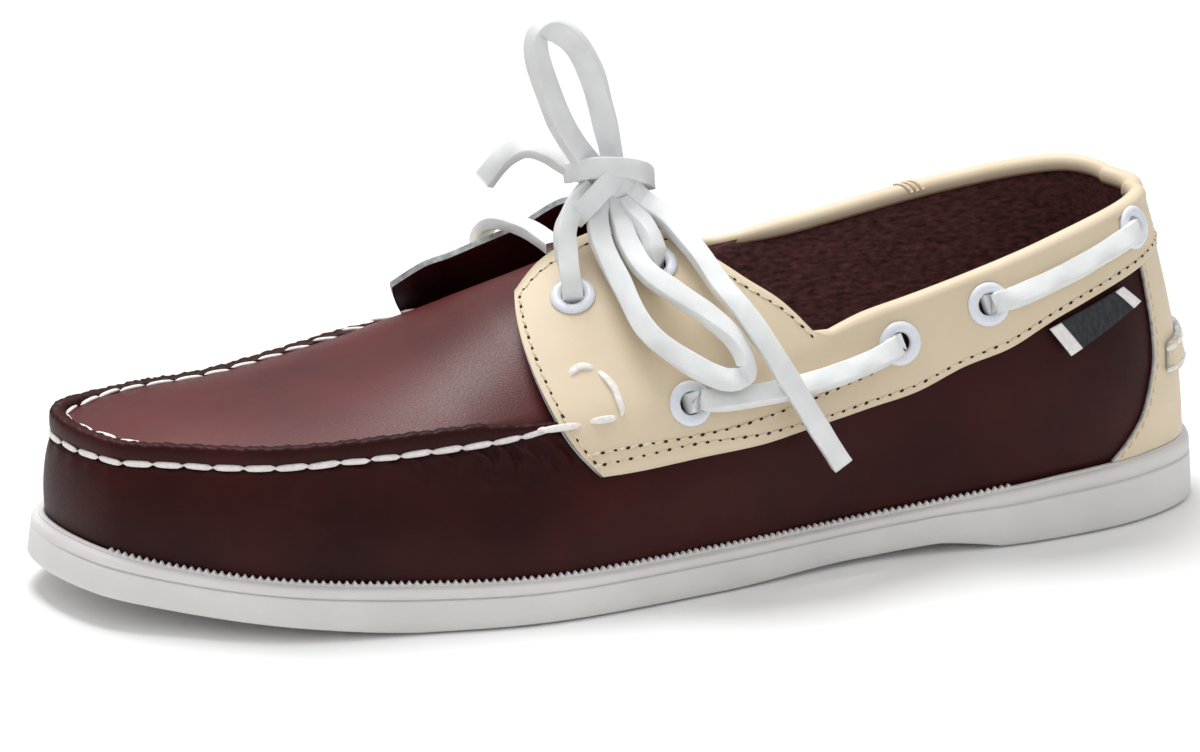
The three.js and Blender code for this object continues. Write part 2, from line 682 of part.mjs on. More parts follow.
// Flat strap along a list of places, each with the direction out of its face.
function strap(path) {
  const rings = path.map(({ point, face }, k) => {
    const before = path[Math.max(k - 1, 0)].point;
    const after = path[Math.min(k + 1, path.length - 1)].point;
    const along = after.clone().sub(before).normalize();
    const wide = along.clone().cross(face).normalize();
    const thin = wide.clone().cross(along).normalize();
    const corner = (a, b) => point.clone()
      .addScaledVector(wide, a * laceWidth / 2)
      .addScaledVector(thin, b * laceThickness / 2);
    return [corner(-1, -1), corner(1, -1), corner(1, 1), corner(-1, 1)];
  });
  return loft(rings, true);
}

const strapLift = overlayGap + overlayThickness + 1 + 3 * gap + laceThickness / 2;

// Run of lace outside the collar between two eyelets, hanging a little below the straight line.
function makeRun(word, from, to, fromName, toName) {
  const side = word === 'lateral' ? 1 : -1;
  const frames = eyeletFrames();
  const overEyelet = (name, place) => {
    const frame = frames.find((one) => one.name === `${word}_${name}`);
    const height = strapLift - overlayGap - overlayThickness + 0.4;
    const above = frame.centre.clone().addScaledVector(frame.normal, height);
    return above.sub(lastPoint(side, place.station, place.place, strapLift));
  };
  const startShift = overEyelet(fromName, from);
  const endShift = overEyelet(toName, to);
  return strap(steps(0, 1, 8).map((t) => {
    const sag = 0.02 * 4 * t * (1 - t);
    const i = from.station + (to.station - from.station) * t;
    const q = from.place + (to.place - from.place) * t - sag;
    const point = lastPoint(side, i, q, strapLift);
    const face = lastPoint(side, i, q, strapLift + 1).sub(point).normalize();
    point.addScaledVector(startShift, 1 - t).addScaledVector(endShift, t);
    return { point, face };
  }));
}

function pathOf(rows) {
  const curve = new THREE.CatmullRomCurve3(rows.map((row) => new THREE.Vector3(row.x, row.y, row.z)));
  const faces = new THREE.CatmullRomCurve3(rows.map((row) => new THREE.Vector3(...row.face)));
  return steps(0, 1, rows.length * 3).map((t) => ({ point: curve.getPoint(t), face: faces.getPoint(t) }));
}

// Crossing of the tie, from over the medial eyestay to under the lateral one.
const crossingRows = [
  { x: 174, y: -36.5, z: 64.5, face: [0.2, -0.8, 0.5] },
  { x: 172.5, y: -33, z: 69.5, face: [0.2, -0.5, 0.8] },
  { x: 170, y: -27, z: 71.6, face: [0.1, 0, 1] },
  { x: 167.6, y: -19, z: 71.9, face: [0.1, 0.15, 1] },
  { x: 166, y: -11, z: 71.4, face: [0.1, 0.1, 1] },
];
// Rises from the front and the rear lateral eyelet to the knot.
const frontRiseRows = [
  { x: 169.4, y: 20.4, z: 67.6, face: [0.75, 0.6, 0] },
  { x: 169.6, y: 18.5, z: 71.4, face: [0.8, 0.55, 0.1] },
  { x: 168.7, y: 13, z: 75.9, face: [0.75, 0.5, 0.4] },
  { x: 166, y: 9.4, z: 80.2, face: [0.75, 0.5, 0.4] },
];
const rearRiseRows = [
  { x: 149.6, y: 20.6, z: 75.6, face: [-0.3, 0.8, 0.3] },
  { x: 149.6, y: 17.4, z: 78.4, face: [-0.3, 0.8, 0.4] },
  { x: 150.3, y: 13, z: 80.6, face: [-0.2, 0.8, 0.4] },
  { x: 151.2, y: 9.6, z: 82.6, face: [-0.2, 0.8, 0.4] },
];

// Tie: a knot, a standing loop, a loop hanging over the lateral side and two ends.
const cordDiameter = 3.2;
const knotCentre = new THREE.Vector3(155.5, 4, 88.8);
const knotRadii = new THREE.Vector3(7.2, 4.6, 3.4);
const tallLoopRows = [
  [161.4, 5, 93.6], [168.1, 6, 102.5], [171.8, 6, 111.7], [174.4, 5, 119.8], [173.4, 4, 125.4],
  [168.3, 3, 126], [162.6, 2, 121.5], [157.7, 1, 113.9], [154.8, 0, 105.7], [153.6, 1, 97.5],
  [153.6, 2.5, 94.4],
];
const hangingLoopRows = [
  [160.4, 8.4, 81.6], [160.4, 15, 76.4], [159.4, 24.6, 70.2], [156.6, 35.4, 61.4], [148.8, 42.2, 55],
  [140, 45, 51], [135.6, 44.6, 53.4], [137.4, 40.8, 59.2], [142.4, 36, 64.6], [148.2, 31, 69.2],
  [153.4, 24.6, 73.2], [155, 17, 77.4], [156, 9.4, 82.2],
];
const longEndRows = [
  [146.4, 5.4, 84.4], [143.6, 8.6, 81.2], [139.8, 16.4, 79.6], [137.4, 26.4, 74], [133.6, 37.6, 65.2],
  [129.6, 43.6, 57], [122.4, 47.4, 44], [116.7, 47.2, 35], [112.4, 46.6, 28.6],
];
const shortEndRows = [
  [165, 0.4, 92], [168.4, -1.8, 94.4], [172.7, -4, 95.6], [177.1, -7, 92.4], [181.6, -9, 86.2],
];

function makeCord(rows, stepCount) {
  const path = new THREE.CatmullRomCurve3(rows.map((row) => new THREE.Vector3(...row)));
  const round = new THREE.Shape(steps(0, 2 * Math.PI, 8).slice(0, -1).map((turn) => (
    new THREE.Vector2(cordDiameter / 2 * Math.cos(turn), cordDiameter / 2 * Math.sin(turn))
  )));
  return new THREE.ExtrudeGeometry(round, { steps: stepCount, extrudePath: path, bevelEnabled: false });
}

// Lump of the knot, pinched where the wraps cross.
function makeKnot() {
  const ball = new THREE.SphereGeometry(1, 14, 8);
  const spots = ball.attributes.position;
  for (let k = 0; k < spots.count; k += 1) {
    const spot = new THREE.Vector3().fromBufferAttribute(spots, k);
    const pinch = 1 - 0.14 * Math.exp(-((spot.x / 0.16) ** 2));
    spot.multiply(knotRadii).multiply(new THREE.Vector3(1, pinch, pinch)).add(knotCentre);
    spots.setXYZ(k, spot.x, spot.y, spot.z);
  }
  return ball;
}

// ---- the shoe ----

const shoe = new THREE.Group();
shoe.position.copy(frameShift);

function leather(color, roughness) {
  return new THREE.MeshStandardMaterial({ color, roughness, metalness: 0 });
}

const finishes = {
  rubber: leather(0xcfccc9, 0.75),
  oxblood: leather(0x3f2225, 0.4),
  cream: leather(0xe6d5b4, 0.5),
  suede: leather(0x4a2a2c, 0.95),
  lace: leather(0xdfe3e3, 0.6),
  enamel: leather(0xe8ecf2, 0.35),
  webbing: leather(0x3a3b40, 0.9),
};

function addPiece(name, solid, finish) {
  const geometry = solid.isBufferGeometry ? solid : geometryOf(solid);
  const mesh = new THREE.Mesh(geometry, finish);
  mesh.name = name;
  shoe.add(mesh);
}

addPiece('outsole', makeOutsole(), finishes.rubber);
addPiece('insole', makeInsole(), finishes.suede);
addPiece('upper', makeUpper(), finishes.oxblood);
addPiece('tongue', makeTongue(), finishes.oxblood);
addPiece('collar', makeCollar(), finishes.cream);
addPiece('heel_counter', makeHeelCounter(), finishes.cream);
addPiece('heel_tab', makeHeelTab(), finishes.cream);
addPiece('side_tab', makeSideTab(), finishes.webbing);
eyeletFrames().forEach((frame) => addPiece(`eyelet_${frame.name}`, makeEyelet(frame), finishes.enamel));
['lateral', 'medial'].forEach((word) => {
  const [midFront, midRear, rear] = bandEyelets;
  const front = makeRun(word, runFront, midFront, 'run_front', 'run_mid_front');
  addPiece(`lace_run_${word}_front`, front, finishes.lace);
  addPiece(`lace_run_${word}_rear`, makeRun(word, midRear, rear, 'run_mid_rear', 'run_rear'), finishes.lace);
});
addPiece('lace_crossing', strap(pathOf(crossingRows)), finishes.lace);
addPiece('lace_rise_front', strap(pathOf(frontRiseRows)), finishes.lace);
addPiece('lace_rise_rear', strap(pathOf(rearRiseRows)), finishes.lace);
addPiece('lace_knot', manifoldOf(makeKnot()), finishes.lace);
addPiece('lace_loop_tall', manifoldOf(makeCord(tallLoopRows, 20)), finishes.lace);
addPiece('lace_loop_hanging', manifoldOf(makeCord(hangingLoopRows, 28)), finishes.lace);
addPiece('lace_end_long', manifoldOf(makeCord(longEndRows, 20)), finishes.lace);
addPiece('lace_end_short', manifoldOf(makeCord(shortEndRows, 10)), finishes.lace);

export default shoe;
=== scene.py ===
import math

import bpy
import numpy as np
from mathutils import Matrix, Vector


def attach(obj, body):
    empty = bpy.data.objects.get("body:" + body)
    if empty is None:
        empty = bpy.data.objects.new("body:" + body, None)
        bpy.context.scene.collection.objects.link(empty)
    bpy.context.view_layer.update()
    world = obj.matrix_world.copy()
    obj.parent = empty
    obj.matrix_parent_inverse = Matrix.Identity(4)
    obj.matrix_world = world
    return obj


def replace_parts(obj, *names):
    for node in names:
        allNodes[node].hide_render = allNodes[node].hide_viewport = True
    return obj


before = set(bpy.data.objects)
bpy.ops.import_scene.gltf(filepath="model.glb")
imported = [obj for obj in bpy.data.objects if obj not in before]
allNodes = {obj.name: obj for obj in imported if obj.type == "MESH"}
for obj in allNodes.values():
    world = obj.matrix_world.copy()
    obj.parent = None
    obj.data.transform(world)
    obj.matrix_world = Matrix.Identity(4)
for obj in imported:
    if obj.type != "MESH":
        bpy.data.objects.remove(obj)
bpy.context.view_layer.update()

scene = bpy.context.scene
print("frame loaded:", len(allNodes), "nodes")

# Lengths are millimetres from the back of the heel, as a last maker measures them, until toFrame moves
# them into the frame.
millimetre = 0.001
lastShift = np.array([146.0, 1.5, 0.0])
sizes = {"wall": 2.0, "overlay": 1.4, "overlayGap": 0.35, "ledge": 4.3, "lipHeight": 4.7, "lipWidth": 3.8,
         "roll": 2.6, "footLift": 0.3}
outerFace = sizes["overlayGap"] + sizes["overlay"]


def toFrame(points):
    return (np.asarray(points, float) - lastShift) * millimetre


# Camera: degrees and millimetres, azimuth from the outer side towards the toe.
view = {"target": (154.2, -3.25, 38.6), "azimuth": 19.53, "elevation": 17.66, "distance": 912.6,
        "lens": 115.0, "roll": 0.81}


def placeCamera():
    turn, rise, roll = (math.radians(view[key]) for key in ("azimuth", "elevation", "roll"))
    back = Vector((math.sin(turn) * math.cos(rise), math.cos(turn) * math.cos(rise), math.sin(rise)))
    right = Vector((0, 0, 1)).cross(back).normalized()
    up = back.cross(right)
    tiltedRight = right * math.cos(roll) + up * math.sin(roll)
    tiltedUp = up * math.cos(roll) - right * math.sin(roll)
    data = bpy.data.cameras.new("studioCamera")
    data.lens = view["lens"]
    data.clip_start = 0.05
    camera = bpy.data.objects.new("studioCamera", data)
    scene.collection.objects.link(camera)
    place = Vector(toFrame(view["target"])) + back * view["distance"] * millimetre
    turnMatrix = Matrix((tiltedRight, tiltedUp, back)).transposed()
    camera.matrix_world = Matrix.Translation(place) @ turnMatrix.to_4x4()
    scene.camera = camera


placeCamera()
print("camera placed")

# Outsole: distance from the heel, reach to the lateral and the medial side, bottom, top.
soleRows = np.array([
    (0, -1, -1, 0, 15.3), (6, 18, -20, 0, 15.5), (24, 30, -31.5, 0, 15.3), (55, 37, -33, 0, 14),
    (100, 37.5, -29, 1.1, 9.8), (140, 46, -35, 0, 9.4), (185, 53, -48, 0, 9.3), (215, 50.5, -50, 0, 10.2),
    (245, 45.5, -47, 3, 12.3), (267, 34, -41, 5, 14), (283, 21.5, -24, 6.8, 16.3),
    (292, -6.5, -6.5, 7.3, 17)])
# Upper: lean and rim height of the lateral side, of the medial side, belly of both, crown across and up.
upperRows = np.array([
    (12.2, 75.2, 12.2, 75.2, 1.8, 1.8, -1, 75.2), (13.4, 75.4, 13.2, 76, 2.6, 2.8, -1, 77),
    (6.5, 75.5, 6, 76.2, 3.2, 3.2, -1, 81), (3.2, 68.8, 0.5, 71.6, 2.4, 2, -1, 83),
    (2.4, 56, -4.7, 62.8, 2, 0.5, -1, 84), (4.5, 48.5, -1, 56, 3, 2, -2, 76),
    (8, 41, 8, 48, 3, 3, -3, 60), (5.5, 39, 6.5, 40, 2.5, 3, -2, 48),
    (3, 38, 10.5, 36.8, 2, 3.5, 0, 43.5), (3, 37, 10, 36.5, 1.8, 3, 0, 40.5),
    (2.5, 36.3, 4.5, 36.3, 1.2, 2, -2, 38.8), (1.6, 36.3, 1.6, 36.3, 0.8, 0.8, -6.5, 36.6)])
toe = len(soleRows) - 1
ringLength = 2 * toe
lateral, medial = 1, -1


def roundRing(lateralColumn, medialColumn):
    return np.concatenate([lateralColumn, medialColumn[toe - 1:0:-1]])


rings = {
    "top": roundRing(soleRows[:, 4], soleRows[:, 4]), "bottom": roundRing(soleRows[:, 3], soleRows[:, 3]),
    "lean": roundRing(upperRows[:, 0], upperRows[:, 2]), "rim": roundRing(upperRows[:, 1], upperRows[:, 3]),
    "belly": roundRing(upperRows[:, 4], upperRows[:, 5]),
}
outlineRing = np.stack([roundRing(soleRows[:, 0], soleRows[:, 0]),
                        roundRing(soleRows[:, 1], soleRows[:, 2])], 1)


def spline(a, b, c, d, t):
    square = 2 * a - 5 * b + 4 * c - d
    cube = 3 * b - a - 3 * c + d
    return 0.5 * (2 * b + (c - a) * t + square * t ** 2 + cube * t ** 3)


def aroundRing(name, u):
    u = np.asarray(u, float)
    k = np.floor(u).astype(int)
    values = [rings[name][(k + step) % ringLength] for step in (-1, 0, 1, 2)]
    return spline(*values, u - k)


def alongRows(values, i):
    i = np.asarray(i, float)
    last = len(values) - 1
    k = np.clip(np.floor(i).astype(int), 0, last - 1)
    picked = [values[np.clip(k + step, 0, last)] for step in (-1, 0, 1, 2)]
    return spline(*picked, i - k if np.ndim(values) == 1 else (i - k)[..., None])


# Centripetal spline round the outline, as the CAD model has it.
def outline(u):
    u = np.asarray(u, float) % ringLength
    k = np.floor(u).astype(int)
    t = (u - k)[..., None]
    a, b, c, d = (outlineRing[(k + step) % ringLength] for step in (-1, 0, 1, 2))
    before, middle, after = (np.sqrt(np.linalg.norm(q - p, axis=-1))[..., None]
                             for p, q in ((a, b), (b, c), (c, d)))
    start = ((b - a) / before - (c - a) / (before + middle) + (c - b) / middle) * middle
    end = ((c - b) / middle - (d - b) / (middle + after) + (d - c) / after) * middle
    return b + start * t + (3 * (c - b) - 2 * start - end) * t ** 2 + (2 * (b - c) + start + end) * t ** 3


def outward(u):
    run = outline(np.asarray(u) + 0.02) - outline(np.asarray(u) - 0.02)
    run /= np.linalg.norm(run, axis=-1, keepdims=True)
    return np.stack([-run[..., 1], run[..., 0], np.zeros_like(run[..., 0])], -1)


def inFrom(u, inset, z):
    flat = outline(u)
    point = np.stack([flat[..., 0], flat[..., 1], np.broadcast_to(z, flat[..., 0].shape)], -1)
    return point - outward(u) * np.broadcast_to(inset, flat[..., 0].shape)[..., None]


def footPoint(u):
    return inFrom(u, sizes["ledge"], aroundRing("top", u) + sizes["footLift"])


def rimPoint(u):
    return inFrom(u, sizes["ledge"] + aroundRing("lean", u), aroundRing("rim", u))


def wallPoint(u, v):
    u, v = np.broadcast_arrays(np.asarray(u, float), np.asarray(v, float))
    swell = aroundRing("belly", u) * 4 * v * (1 - v)
    mixed = footPoint(u) * (1 - v[..., None]) + rimPoint(u) * v[..., None]
    return mixed + outward(u) * swell[..., None]


def wallNormal(u, v):
    u, v = np.broadcast_arrays(np.asarray(u, float), np.asarray(v, float))
    height = aroundRing("rim", u) - aroundRing("top", u) - sizes["footLift"]
    run = aroundRing("belly", u) * 4 * (1 - 2 * v) - aroundRing("lean", u)
    normal = outward(u) * height[..., None]
    normal[..., 2] = -run
    return normal / np.linalg.norm(normal, axis=-1, keepdims=True)


def crownPoint(i):
    i = np.asarray(i, float)
    x = (rimPoint(i)[..., 0] + rimPoint(ringLength - i)[..., 0]) / 2
    return np.stack([x, alongRows(upperRows[:, 6], i), alongRows(upperRows[:, 7], i)], -1)


def ringPlace(side, i):
    return i if side > 0 else ringLength - i


def topPoint(side, i, t):
    i, t = np.broadcast_arrays(np.asarray(i, float), np.asarray(t, float))
    rim, crown = rimPoint(ringPlace(side, i)), crownPoint(i)
    point = rim + (crown - rim) * t[..., None]
    point[..., 2] = rim[..., 2] + (crown - rim)[..., 2] * (1 - (1 - t) ** 2)
    return point


def unit(vectors):
    return vectors / np.maximum(np.linalg.norm(vectors, axis=-1, keepdims=True), 1e-9)


def topNormal(side, i, t):
    low, high = np.maximum(i - 0.1, 0), np.minimum(i + 0.1, toe)
    along = topPoint(side, high, t) - topPoint(side, low, t)
    across = topPoint(side, i, np.minimum(t + 0.02, 1)) - topPoint(side, i, np.maximum(t - 0.02, 0))
    return unit(np.cross(along, across) * -side)


# Point of the last at station i: q runs from the foot (0) over the rim (0.5) to the crown (1).
def lastPoint(side, i, q, grow=0.0):
    i, q, grow = np.broadcast_arrays(*(np.asarray(value, float) for value in (i, q, grow)))
    u = ringPlace(side, i)
    onWall = q < 0.5
    v, t = np.minimum(q * 2, 1), np.maximum(q * 2 - 1, 0)
    wallSide = wallNormal(u, v)
    low = wallPoint(u, v) + wallSide * grow[..., None]
    topSide = topNormal(side, i, t)
    blend = np.clip(0.5 + 4.16 * t, 0, 1)[..., None]
    mitre = unit(wallNormal(u, np.ones_like(v)) * (1 - blend) + topSide * blend)
    normal = np.where((t > 0.12)[..., None], topSide, mitre)
    high = topPoint(side, i, t) + normal * grow[..., None]
    return np.where(onWall[..., None], low, high)


def toLinear(code):
    values = [int(code[k:k + 2], 16) / 255 for k in (1, 3, 5)]
    return (*(v / 12.92 if v <= 0.04045 else ((v + 0.055) / 1.055) ** 2.4 for v in values), 1.0)


def addNode(tree, kind, inputs=None, **settings):
    node = tree.nodes.new(kind)
    for key, value in settings.items():
        setattr(node, key, value)
    for key, value in (inputs or {}).items():
        if isinstance(value, bpy.types.NodeSocket):
            tree.links.new(value, node.inputs[key])
        else:
            node.inputs[key].default_value = value
    return node


# A real size in millimetres as the scale of a texture on Object coordinates.
def scaleOf(size):
    return 1 / (size * millimetre)


def makeFinish(name, dark, light, mottle, grain, bump, rough, pore=0.0, poreSize=1.0, stretch=(1, 1, 1),
               coat=0.0, sheen=0.0, scatter=0.0, sheenColour="#ffffff", contrast=0.2, glint=0.5):
    material = bpy.data.materials.new(name)
    material.use_nodes = True
    tree = material.node_tree
    shader = tree.nodes["Principled BSDF"]
    coords = addNode(tree, "ShaderNodeTexCoord").outputs["Object"]
    drawn = addNode(tree, "ShaderNodeMapping", {"Vector": coords, "Scale": stretch}).outputs["Vector"]
    patches = addNode(tree, "ShaderNodeTexNoise", {"Vector": drawn, "Scale": scaleOf(mottle), "Detail": 4.0})
    spread = addNode(tree, "ShaderNodeMapRange", {
        "Value": patches.outputs["Fac"], "From Min": 0.5 - contrast, "From Max": 0.5 + contrast})
    colour = addNode(tree, "ShaderNodeMix", {"Factor": spread.outputs["Result"]}, data_type="RGBA")
    colour.inputs[6].default_value = toLinear(dark)
    colour.inputs[7].default_value = toLinear(light)
    fine = addNode(tree, "ShaderNodeTexNoise", {
        "Vector": drawn, "Scale": scaleOf(grain), "Detail": 6.0, "Roughness": 0.62})
    shine = addNode(tree, "ShaderNodeMapRange", {
        "Value": fine.outputs["Fac"], "From Min": 0.3, "From Max": 0.7,
        "To Min": rough[0], "To Max": rough[1]})
    height = fine.outputs["Fac"]
    if pore > 0:
        cells = addNode(tree, "ShaderNodeTexVoronoi", {"Vector": drawn, "Scale": scaleOf(poreSize)},
                        feature="DISTANCE_TO_EDGE")
        edge = addNode(tree, "ShaderNodeMapRange", {"Value": cells.outputs["Distance"], "From Max": 0.25})
        height = addNode(tree, "ShaderNodeMath", {0: edge.outputs["Result"], 1: pore, 2: height},
                         operation="MULTIPLY_ADD").outputs[0]
    relief = addNode(tree, "ShaderNodeBump", {
        "Height": height, "Strength": 1.0, "Distance": bump * millimetre})
    for socket, source in (("Base Color", colour.outputs[2]), ("Roughness", shine.outputs["Result"]),
                           ("Normal", relief.outputs["Normal"])):
        tree.links.new(source, shader.inputs[socket])
    shader.inputs["Specular IOR Level"].default_value = glint
    shader.inputs["Coat Weight"].default_value = coat
    shader.inputs["Coat Roughness"].default_value = 0.3
    shader.inputs["Sheen Weight"].default_value = sheen
    shader.inputs["Sheen Tint"].default_value = toLinear(sheenColour)
    shader.inputs["Subsurface Weight"].default_value = scatter
    shader.inputs["Subsurface Scale"].default_value = 0.002
    return material


finishes = {
    # pull-up leather, waxed: brown-red depth under a soft gloss, paler and darker in random patches
    "oxblood": makeFinish("oxblood pull-up leather", "#270a0a", "#3d1413", 30, 0.5, 0.06, (0.38, 0.5),
                          pore=0.25, poreSize=0.9, glint=0.13),
    # the same oxblood leather made lighter for the plug: its paler base colour is painted top light and
    # highlight where the plug faces the overhead lamp
    "plug": makeFinish("oxblood leather of the plug", "#4e1917", "#632625", 34, 0.5, 0.05, (0.36, 0.48),
                       pore=0.25, poreSize=0.9, glint=0.32),
    # drum-dyed smooth leather: even cream, almost no grain
    "cream": makeFinish("cream smooth leather", "#dbc9ac", "#e6d5b9", 28, 0.6, 0.03, (0.46, 0.58),
                        pore=0.12, poreSize=0.8, scatter=0.04),
    # cut edge of the cream leather: the blue-white of chrome tanning shows
    "rawEdge": makeFinish("chrome-tanned cut edge", "#9fa6ab", "#dde1e2", 1.6, 0.35, 0.12, (0.7, 0.9)),
    # brushed pigskin lining: short nap, streaked where it was stroked
    "suede": makeFinish("brushed suede lining", "#1a0a0a", "#8c5856", 1.1, 0.35, 0.3, (0.85, 1.0),
                        stretch=(0.45, 1, 1.2), sheen=0.3, sheenColour="#a06a66", contrast=0.27),
    # moulded rubber, matt from the mould's grit
    "rubber": makeFinish("moulded off-white rubber", "#dddad8", "#e5e2e0", 18, 0.35, 0.02, (0.62, 0.74),
                         scatter=0.03),
    # chrome leather lace, split: white with grey fibre on the flesh side
    "lace": makeFinish("white split leather lace", "#dfe2e2", "#f1f3f3", 7, 0.3, 0.06, (0.48, 0.62),
                       scatter=0.05, contrast=0.3),
    # waxed polyester thread
    "thread": makeFinish("waxed white thread", "#e9e4df", "#fbf8f6", 1.2, 0.25, 0.08, (0.5, 0.65)),
    "creamThread": makeFinish("waxed cream thread", "#d6bfa2", "#ecdcc6", 1.0, 0.25, 0.06, (0.5, 0.65)),
    # awl holes: a dark lens laid on the leather stands for each hole, its colour the painted shade inside the
    # hole
    "awlHole": makeFinish("awl hole in leather", "#1c0f0c", "#33201a", 1.0, 0.3, 0.02, (0.8, 0.9)),
    # stamped brass eyelet under white lacquer
    "enamel": makeFinish("white lacquered eyelet", "#e3e8f2", "#eef1f8", 5.0, 0.6, 0.004, (0.24, 0.32),
                         coat=0.4),
    # woven polyester tape
    "webbing": makeFinish("charcoal woven tape", "#26272c", "#3b3c42", 0.9, 0.4, 0.15, (0.8, 0.95),
                          stretch=(1, 1, 0.4)),
}
print("materials made:", len(finishes))


def newPiece(name, points, faces, finish, smooth=True, choice=None):
    mesh = bpy.data.meshes.new(name)
    mesh.from_pydata(toFrame(points).tolist(), [], faces)
    for one in [finish] if isinstance(finish, str) else finish:
        mesh.materials.append(finishes[one])
    if choice is not None:
        mesh.polygons.foreach_set("material_index", choice)
    mesh.polygons.foreach_set("use_smooth", [smooth] * len(mesh.polygons))
    mesh.validate()
    piece = bpy.data.objects.new(name, mesh)
    scene.collection.objects.link(piece)
    turnOut(piece)
    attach(piece, "root")
    return piece


# Faces out, whichever way the grid was laid.
def turnOut(piece):
    mesh = piece.data
    mesh.calc_loop_triangles()
    corners = np.empty(len(mesh.vertices) * 3)
    mesh.vertices.foreach_get("co", corners)
    corners = corners.reshape(-1, 3)
    triangles = np.empty(len(mesh.loop_triangles) * 3, int)
    mesh.loop_triangles.foreach_get("vertices", triangles)
    a, b, c = (corners[triangles[k::3]] for k in range(3))
    volume = np.einsum("ij,ij->i", a, np.cross(b, c)).sum()
    if volume < 0:
        mesh.flip_normals()


# Quads of a grid of rows by columns, either way round.
def gridFaces(rows, columns, closedRows=False, closedColumns=False):
    faces = []
    for r in range(rows if closedRows else rows - 1):
        here, after = r * columns, (r + 1) % rows * columns
        for c in range(columns if closedColumns else columns - 1):
            beside = (c + 1) % columns
            faces.append((here + c, here + beside, after + beside, after + c))
    return faces


# Closed body through sections of equal length, with flat ends.
def loftFaces(rows, columns):
    faces = gridFaces(rows, columns, closedColumns=True)
    start = (rows - 1) * columns
    faces.append(tuple(range(columns)))
    faces.append(tuple(start + c for c in reversed(range(columns))))
    return faces


# Piece from sections of equal length, with flat ends.
def loftPiece(name, sections, finish):
    rows, columns = sections.shape[:2]
    return newPiece(name, sections.reshape(-1, 3), loftFaces(rows, columns), finish)


# Piece from closed sections whose last one joins the first.
def ringPiece(name, sections, finish):
    rows, columns = sections.shape[:2]
    faces = gridFaces(rows, columns, closedRows=True, closedColumns=True)
    return newPiece(name, sections.reshape(-1, 3), faces, finish)


# Sheet with a thickness: outer and inner grids of points, joined round the rim.
def sheetPiece(name, outer, inner, finish, slot, edgeFinish=None, innerFinish=None, smooth=True):
    rows, columns = outer.shape[:2]
    count = rows * columns
    outerFaces = gridFaces(rows, columns)
    innerFaces = [tuple(count + k for k in reversed(face)) for face in outerFaces]
    border = list(range(columns))
    border += [r * columns + columns - 1 for r in range(1, rows)]
    border += [(rows - 1) * columns + c for c in reversed(range(columns - 1))]
    border += [r * columns for r in reversed(range(1, rows - 1))]
    rimFaces = [(a, a + count, b + count, b) for a, b in zip(border, border[1:] + border[:1])]
    names = [finish, innerFinish or finish, edgeFinish or finish]
    choice = [0] * len(outerFaces) + [1] * len(innerFaces) + [2] * len(rimFaces)
    points = np.concatenate([outer.reshape(-1, 3), inner.reshape(-1, 3)])
    return newPiece(name, points, outerFaces + innerFaces + rimFaces, names, smooth, choice)


def steps(start, end, count):
    return np.linspace(start, end, count + 1)


def applyModifiers(piece):
    graph = bpy.context.evaluated_depsgraph_get()
    baked = bpy.data.meshes.new_from_object(
        piece.evaluated_get(graph), preserve_all_data_layers=True, depsgraph=graph)
    old = piece.data
    piece.modifiers.clear()
    piece.data = baked
    baked.name = piece.name
    bpy.data.meshes.remove(old)


def merge(piece, distance):
    weld = piece.modifiers.new("merge", "WELD")
    weld.merge_threshold = distance * millimetre
    applyModifiers(piece)
    turnOut(piece)


# tallLoop is the width and thickness of the bow's upright loop, wear the share that the edges wander.
lace = {"wide": 4.8, "thick": 2.9, "tallLoop": (5.6, 3.1), "corner": 0.3, "wear": 0.036, "spacing": 1.2}


# Route through points (x, y, z) with the direction out of the strap's flat face at each.
def smoothRoute(points):
    points = np.asarray(points, float)
    gaps = np.linalg.norm(np.diff(points[:, :3], axis=0), axis=1)
    count = max(int(gaps.sum() / lace["spacing"]), len(points) * 3)
    place = np.concatenate([[0], np.cumsum(gaps)])
    index = np.interp(steps(0, place[-1], count), place, np.arange(len(points)))
    return alongRows(points, index)


# Sections of a flat strap with rounded corners, square to its route.
def strapSections(route, wide, thick):
    centres, faces = route[:, :3], unit(route[:, 3:])
    along = unit(np.gradient(centres, axis=0))
    side = unit(np.cross(along, faces))
    face = unit(np.cross(side, along))
    corner = lace["corner"]
    shape = []
    for turn, (across, over) in enumerate(((1, 1), (-1, 1), (-1, -1), (1, -1))):
        for part in (0, 45, 90):
            angle = math.radians(90 * turn + part)
            shape.append((across * (wide / 2 - corner) + corner * math.cos(angle),
                          over * (thick / 2 - corner) + corner * math.sin(angle)))
    shape = np.array(shape)
    return centres[:, None] + side[:, None] * shape[None, :, :1] + face[:, None] * shape[None, :, 1:]


def strapPiece(name, points, wide=lace["wide"], thick=lace["thick"]):
    route = smoothRoute(points)
    sections = strapSections(route, wide, thick)
    rows, columns = sections.shape[:2]
    ripple = np.sin(np.arange(rows)[:, None] * 0.55 + len(name)) * np.cos(np.arange(columns) * 1.1)[None]
    centre = route[:, None, :3]
    sections = centre + (sections - centre) * (1 + lace["wear"] * ripple[..., None])
    return loftPiece(name, sections, "lace"), route


